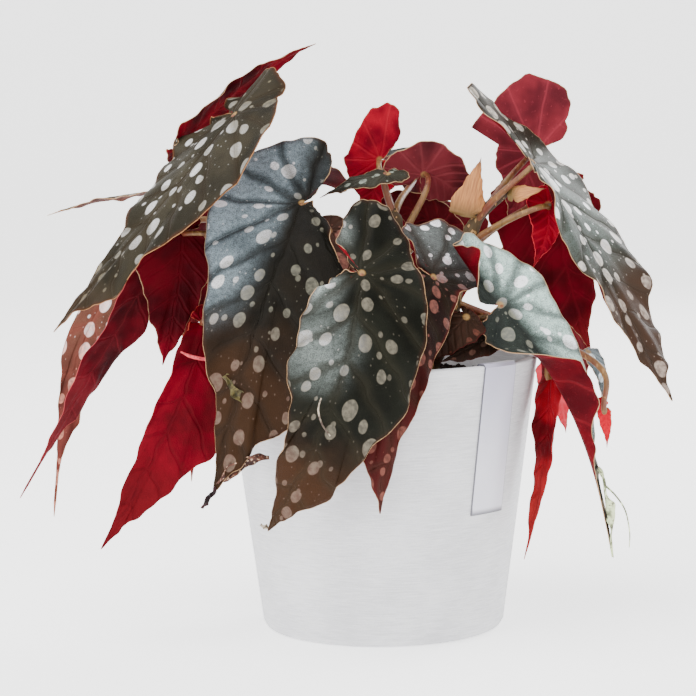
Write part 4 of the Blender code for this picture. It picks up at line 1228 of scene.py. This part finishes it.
def scrap_mesh(name, path, widths, turns, curl, seed):
    """A ribbon along a path: its widths, its twists, how far its sides curl up, and uneven crumples."""
    line = smooth_line(path, 14)
    at = np.linspace(0, 1, len(line))
    ahead = unit(np.gradient(line, axis=0))
    side = unit(np.cross(ahead, (0.2, -0.9, 0.3)))
    rise = np.cross(side, ahead)
    angle = 2 * np.pi * turns * at + 0.5 * np.sin(9 * at + seed)
    across = side * np.cos(angle)[:, None] + rise * np.sin(angle)[:, None]
    upward = np.cross(across, ahead)
    width = np.interp(at, np.linspace(0, 1, len(widths)), widths)
    width = width * (1 + 0.14 * np.sin(11 * at + 2 * seed) + 0.05 * np.sin(23 * at + seed))
    share, most = np.linspace(-1, 1, SCRAP_ACROSS), np.radians(curl)
    at, wide, over = at[:, None], width[:, None], upward[:, None, :]
    bend = most * share * (1 + 0.4 * np.sin(13 * at + seed))
    flat_way = (np.sin(bend) / most * wide / 2)[:, :, None] * across[:, None, :]
    cup_way = ((1 - np.cos(bend)) / most * wide / 2)[:, :, None] * over
    crumple = 0.12 * np.sin(7 * at + 3 * share + seed) * np.sin(13 * at - 4 * share)
    sheet = line[:, None, :] + flat_way + cup_way + (crumple * wide)[:, :, None] * over
    half = SCRAP_THICK / 2 * (1 - 0.5 * np.abs(share))[None, :, None] * over
    return joined_rings(name, np.concatenate([sheet + half, (sheet - half)[:, ::-1]], axis=1))


def dry_finish(name, dark, pale, brown):
    """Dead skin: pale and dark patches in small crumples, with brown flecks."""
    dry = Finish(name, {"Roughness": 0.6, "Specular IOR Level": 0.3})
    patch = dry.mottle(0.0035, 3.0)
    fleck = dry.mottle(0.0013, 1.0)
    tone = dry.coats(dark, (patch.eased(0.38, 0.62), pale), (fleck.eased(0.58, 0.66) * 0.7, brown))
    dry.give("Base Color", tone)
    dry.raise_by(patch + 0.5 * fleck, 0.0006)
    return dry.material


ashen = dry_finish("ashen_dry", (138, 126, 112), (190, 184, 172), (92, 52, 44))
browned = dry_finish("browned_dry", (96, 54, 38), (150, 112, 88), (206, 192, 176))
greenish = dry_finish("greenish_dry", (100, 94, 52), (142, 134, 84), (92, 68, 42))
wine = dry_finish("wine_dry", (60, 24, 28), (112, 62, 66), (36, 16, 18))
straw = dry_finish("straw_dry", (150, 154, 130), (206, 210, 190), (120, 110, 88))
rosy = dry_finish("rosy_dry", (188, 98, 96), (206, 128, 122), (160, 76, 76))
SCRAPS = (
    (
        "curled_tip", ((-52, -68.5, 91), (-60, -69.3, 91), (-68, -68, 86), (-76, -65.5, 79)),
        (3, 6, 7, 4), 0.12, 60, browned,
    ),
    (
        "fallen_tip", ((-77, -63.8, 77.5), (-78.5, -65, 74.5), (-80.5, -66, 72), (-83.4, -66, 68)),
        (2, 4, 4.5, 3), 0.1, 100, wine,
    ),
    (
        "green_fold", ((-72, -66.5, 128.5), (-68.7, -69, 124), (-65.6, -69.8, 119.6), (-61.6, -69.8, 113.5)),
        (3, 5, 5, 3), 0.02, 60, greenish,
    ),
    (
        "shrivelled_tail",
        (
            (98, -51.5, 82), (101.5, -52, 75), (102.5, -52, 66),
            (105.5, -52, 57.5), (105, -51.5, 48), (106, -50.5, 40),
        ),
        (2, 5, 6, 5, 3, 1), 0.9, 70, straw,
    ),
    (
        "bitten_tip", ((-56.5, -70, 60.5), (-53.4, -71, 59.2), (-50.7, -71, 60.4)),
        (1.5, 3, 1.5), 0.2, 60, ashen,
    ),
)
THREADS = (
    (
        "rosy_thread", ((-92.3, -50, 138), (-88, -53, 136.3), (-81.6, -54.5, 135), (-75.7, -53.5, 135.3)),
        (0.4, 0.9, 0.9, 0.7), rosy,
    ),
    (
        "tail_thread",
        ((102, -52, 74), (107, -51.5, 69), (111.5, -51, 61.9), (113.5, -51, 52), (113.5, -50, 44.4)),
        (0.5, 0.4, 0.35, 0.3, 0.2), straw,
    ),
    (
        "pale_curl", ((-27.7, -101, 122), (-29, -101, 116.7), (-27.5, -100, 110.3), (-24, -98, 104.7)),
        (0.3, 0.4, 0.4, 0.3), ashen,
    ),
)
for seed, (scrap_name, path, widths, turns, curl, dry) in enumerate(SCRAPS, 61):
    scrap = scrap_mesh(scrap_name, path, widths, turns, curl, seed)
    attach(show(scrap_name, scrap, dry), "root")
for thread_name, path, girths, dry in THREADS:
    line = smooth_line(path, 10)
    girth = np.interp(np.linspace(0, 1, len(line)), np.linspace(0, 1, len(girths)), girths)
    thread = show(thread_name, lines_mesh(thread_name, [(line, girth, 0.0)]), dry)
    thread.data = grown(thread, sweep, {"Sides": 8, "Finish": dry})
    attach(thread, "root")
